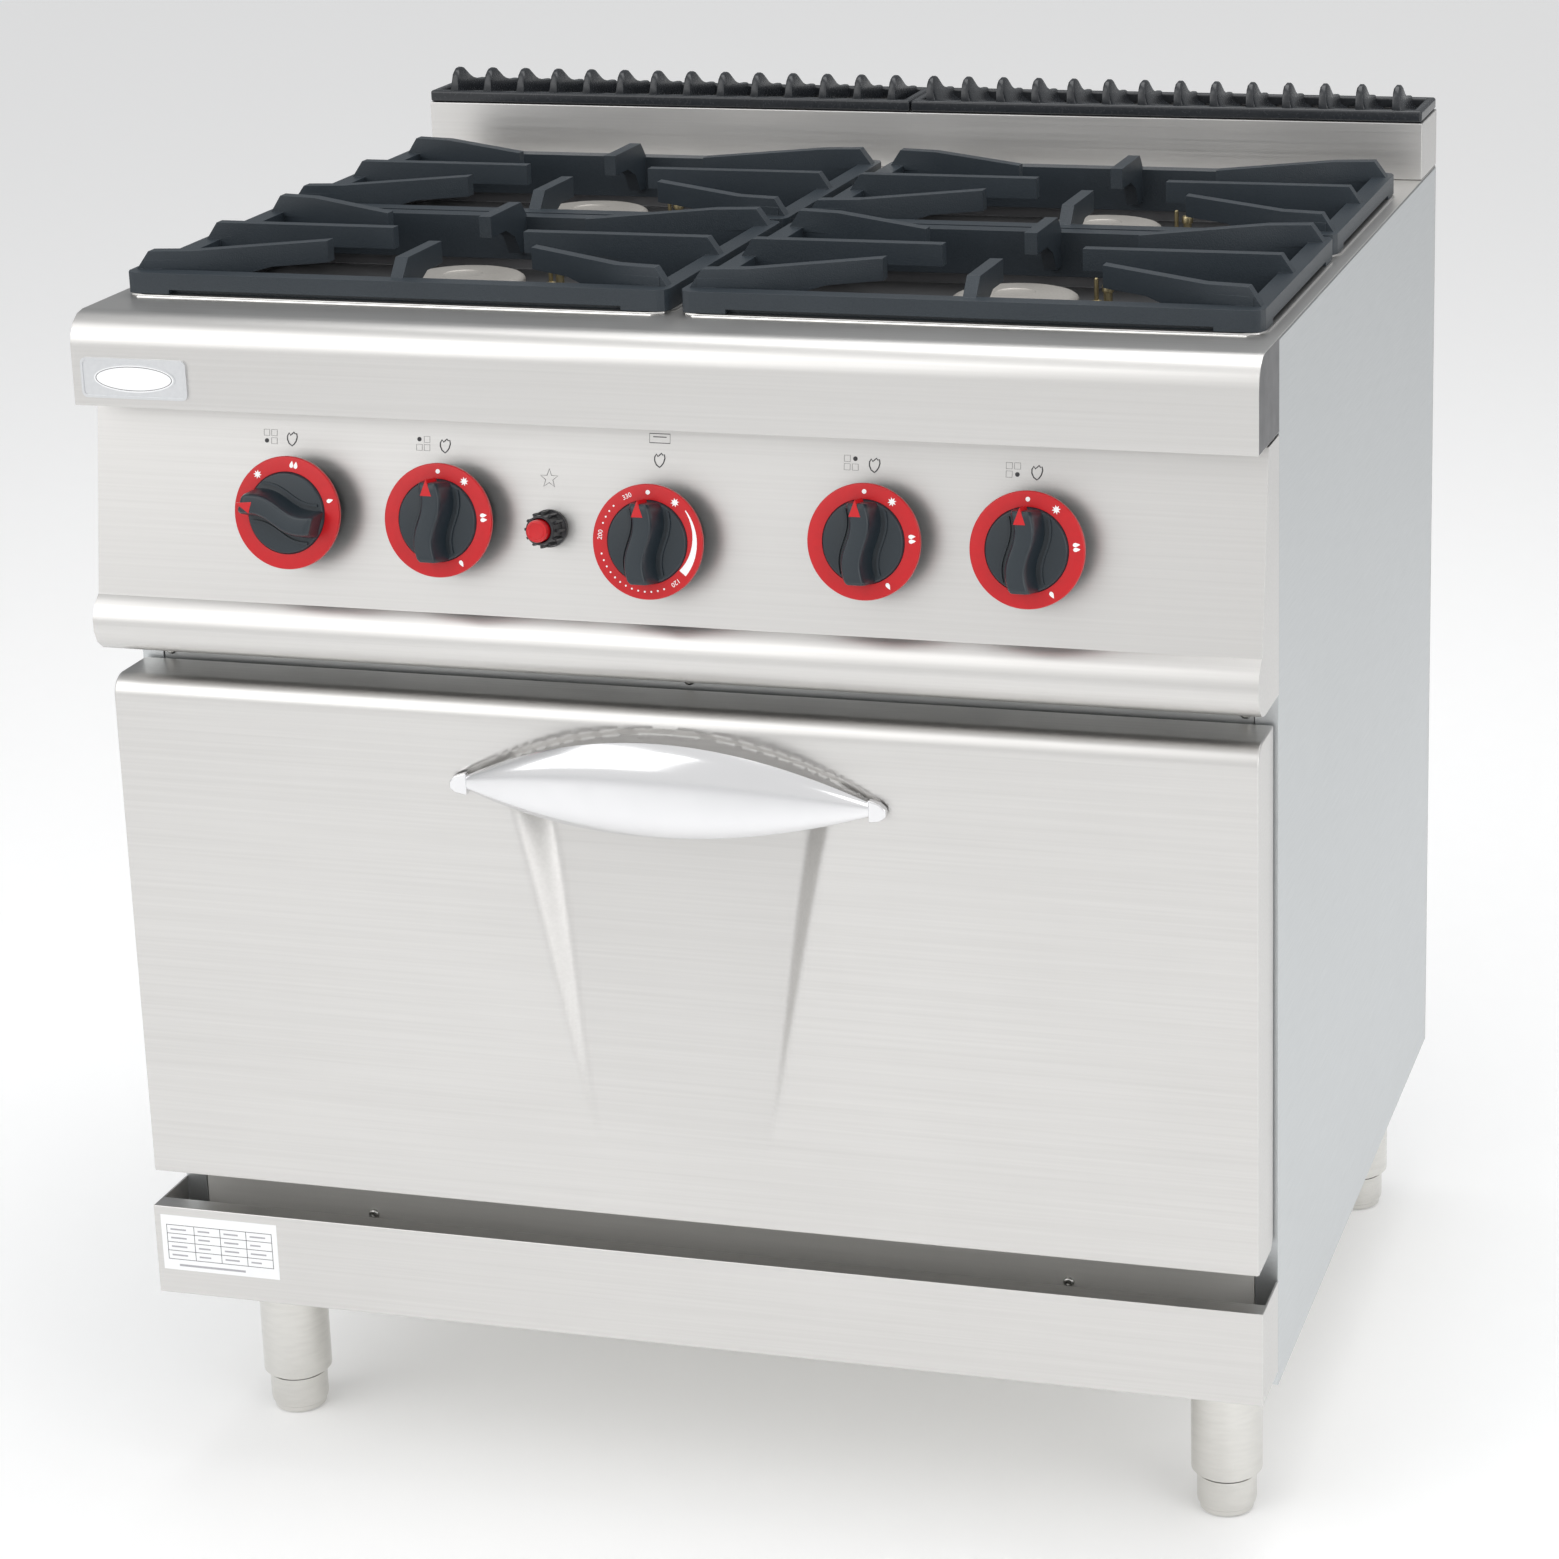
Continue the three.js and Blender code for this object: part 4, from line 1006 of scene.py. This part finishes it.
def pilot(name, x, y):
    base_x, base_y = x + 52, y + 50
    tube = turned("tube", [(radius, WELL_FLOOR + height) for radius, height in (
        (0, 0), (5.2, 0), (5.2, 2.8), (3, 3.4), (3, 11.8), (4.2, 12.4), (4.2, 16.2), (3.2, 17.4), (0, 17.4),
    )], 24, about=(base_x, base_y))
    probe = turned("probe", [(radius, WELL_FLOOR + height) for radius, height in (
        (0, 0), (4, 0), (4, 3.8), (1.6, 4.8), (1.6, 18.8), (1.0, 19.8), (0, 19.8),
    )], 20, about=(base_x - 10, base_y + 8))
    bracket = box_piece("bracket", base_x - 18, base_x + 8, base_y - 4, base_y + 12, WELL_FLOOR - 0.05, 827.4)
    return joined("pilot_" + name, [tube, probe, bracket])


for name, x, y in BURNER_PLACES:
    dress("burner_body_" + name, 0.4, cup_metal)
    settle(flame_slots(name, x, y), cup_metal)
    settle(burner_cap(name, x, y), cap_metal, "burner_cap_" + name, "burner_cap_" + name)
    settle(pilot(name, x, y), brass)

# ---- Trivets ------------------------------------------------------------------------------------
# Grey-blue enamelled iron castings that drop into the wells. Each has a rim with a low skirt, and fingers
# that slope up from the rim and reach in over the burner.
trivet_enamel = enamelled(
    "trivet_enamel", (0.015, 0.021, 0.027), (0.038, 0.049, 0.06), 1100, 0.3, (0.3, 0.0006),
    Specular_IOR_Level=0.4,
)
for name, x, y in BURNER_PLACES:
    node = "trivet_" + name
    dress(node, 1.0, trivet_enamel, node, 3)

# ---- Oven ---------------------------------------------------------------------------------------
# A folded steel box with a face frame and a flue duct, a slotted floor plate over a tubular burner, and a
# wire shelf on two wire rails. A rubber seal runs round the mouth.
for node in ("oven_liner", "oven_floor", "hinge_left", "hinge_right"):
    dress(node, 0.3, mill_steel)
wire_chrome = brushed("wire_chrome", (0.8, 0.8, 0.8), (0.68, 0.68, 0.68), (60, 60, 60), 0.14, 0.05)
for side in ("left", "right"):
    dress("rack_support_" + side, 0.5, wire_chrome)


def wire(name, start, end, radius):
    """A straight round wire with rounded ends between two points."""
    start, end = Vector(start), Vector(end)
    length = (end - start).length
    turn = (end - start).to_track_quat("Z", "Y").to_matrix().to_4x4()
    profile = [(0, 0), (0.7 * radius, 0.2 * radius), (radius, radius), (radius, length - radius),
               (0.7 * radius, length - 0.2 * radius), (0, length)]
    return turned(name, profile, 12, BODY @ Matrix.Translation(start) @ turn)


def oven_shelf():
    z, half = 404, 279
    pitch = 34.9
    rod = wire("rod", (0, -250, z), (0, 270, z), 1.5)
    rods = row_of("rods", rod, 15, (-half + pitch, 0, 0), (pitch, 0, 0), wire_chrome)
    parts = [rods]
    for y in (-250, 270):
        parts.append(coated(wire("rail", (-half, y, z), (half, y, z), 3), wire_chrome))
    for x in (-half + 3, half - 3):
        parts.append(coated(wire("edge", (x, -250, z), (x, 270, z), 3), wire_chrome))
    return joined("oven_shelf", parts)


settle(oven_shelf(), wire_chrome, "oven_rack", "oven_rack")
dress("oven_burner", 0, mill_steel)
seal_rubber = printed("seal_rubber", (0.02, 0.02, 0.02), (0.045, 0.045, 0.045), 250, 0.6)
dress("door_seal", 0.8, seal_rubber)

# ---- Door ---------------------------------------------------------------------------------------
# A pan of brushed stainless with a rolled top edge and a tapering finger pocket pressed into its face. It is
# closed at the back by an inner sheet that carries the hinge pins.
DOOR_FRONT, DOOR_BACK, DOOR_LOW, DOOR_HIGH, DOOR_HALF, DOOR_ROUND = -336, -288, 230.5, 596, 397, 14
HINGE_X = 341


def ease(value):
    value = min(max(value, 0.0), 1.0)
    return value * value * (3 - 2 * value)


def pocket_depth(x, z):
    """How far the pressed pocket lies behind the door's face."""
    across = abs(x)
    climb = (z - 280) / 238
    outer = 62 + 50 * min(max(climb, 0), 1.1)
    wall = 6 + 17 * ease(climb)
    taper = ease((outer - across) / wall) * min(1.0, max(climb, 0) ** 1.15) * ease((552 - z) / 8)
    top_curve = 541 + 43 * (1 - (x / 152) ** 2)
    crescent = ease((top_curve - z) / 7) * ease((z - 536) / 5)
    return 22 * max(taper, 0.32 * crescent)


def door_pan():
    columns = [-DOOR_HALF, -370, -330, -290, -250, -210, -180] + [-160 + 2.5 * step for step in range(129)]
    columns += [180, 210, 250, 290, 330, 370, DOOR_HALF]
    profile = [(DOOR_BACK, DOOR_LOW + 5), (DOOR_BACK - 5, DOOR_LOW), (-300, DOOR_LOW), (-318, DOOR_LOW)]
    profile += [(DOOR_FRONT + 2, DOOR_LOW), (DOOR_FRONT + 0.6, DOOR_LOW + 0.6), (DOOR_FRONT, DOOR_LOW + 2)]
    profile += [(DOOR_FRONT, z) for z in (245, 260, 272)]
    profile += [(DOOR_FRONT, 276 + 3 * step) for step in range(102)]
    for step in range(13):
        angle = math.pi - step / 12 * math.pi / 2
        back, up = 1 + math.cos(angle), math.sin(angle) - 1
        profile.append((DOOR_FRONT + DOOR_ROUND * back, DOOR_HIGH + DOOR_ROUND * up))
    profile.append((DOOR_BACK, DOOR_HIGH))
    rows = len(profile)
    points = []
    for x in columns:
        for y, z in profile:
            sunk = pocket_depth(x, z) if y == DOOR_FRONT else 0
            points.append((x, y + sunk, z))
    faces = []
    for column in range(len(columns) - 1):
        for row in range(rows - 1):
            a = column * rows + row
            faces.append((a, a + rows, a + rows + 1, a + 1))
    last = (len(columns) - 1) * rows
    faces.append(tuple(range(rows)))
    faces.append(tuple(range(last + rows - 1, last - 1, -1)))
    pan = piece_from("door_pan", points, faces)
    work = bmesh.new()
    work.from_mesh(pan.data)
    bmesh.ops.recalc_face_normals(work, faces=work.faces)
    work.to_mesh(pan.data)
    work.free()
    modify(pan, "BEVEL", width=0.0012, segments=3, limit_method="ANGLE", angle_limit=math.radians(60))
    modify(pan, "SOLIDIFY", thickness=0.0012, offset=-1)
    apply_modifiers(pan)
    for hinge in (-HINGE_X, HINGE_X):
        slot = ease_edges(box_piece("slot", hinge - 6, hinge + 6, -314, -280, 225, 239.5), 0)
        modify(pan, "BOOLEAN", operation="DIFFERENCE", object=slot)
        apply_modifiers(pan)
        bpy.data.objects.remove(slot)
    return ease_edges(pan, 0)


settle(door_pan(), front_steel, "oven_door", "door_skin")
dress("door_inner", 0.3, mill_steel, "oven_door")

# ---- Door handle --------------------------------------------------------------------------------
# A lens-shaped chromed shell, bowed forwards and hollow behind, with a cast end cap at each tip.
chrome = brushed(
    "chrome", (0.82, 0.82, 0.83), (0.76, 0.76, 0.77), (40, 40, 40), 0.1, 0.01, bump=(0.0, 0.0001),
)


def handle_shell():
    half, tip, top, low, bow, back = 152, 537, 581, 518, 36, -336.3
    radius = (half ** 2 + bow ** 2) / (2 * bow)
    across, up = 96, 16
    points, faces = [], []
    for column in range(across + 1):
        x = -half * 0.985 + 2 * half * 0.985 * column / across
        share = 1 - (x / half) ** 2
        z_low, z_high = tip - (tip - low) * share, tip + (top - tip) * share
        arc = back - bow + radius - math.sqrt(radius ** 2 - x ** 2)
        for row in range(up + 1):
            v = row / up
            z = z_low + (z_high - z_low) * v
            roll = 7.5 * share * (2 * v - 1) ** 4 + 5 * share * v ** 3
            points.append((x, min(arc + roll, back - 0.2), z))
    for column in range(across):
        for row in range(up):
            a = column * (up + 1) + row
            faces.append((a, a + 1, a + up + 2, a + up + 1))
    shell = piece_from("shell", points, faces)
    modify(shell, "SOLIDIFY", thickness=0.0026, offset=1)
    apply_modifiers(shell)
    caps = []
    for sign in (-1, 1):
        outline = [(140, 546), (148, 543.5), (152, 539.5), (152, 534.5), (148, 531.5), (140, 530)]
        outline = [(sign * x, z) for x, z in outline]
        caps.append(ease_edges(prism("cap", outline, -342.5, back, "y"), 1.2, 3))
    return joined("door_handle_shell", [ease_edges(shell, 0.6, 2)] + caps)


settle(handle_shell(), chrome, "oven_door", "door_handle")
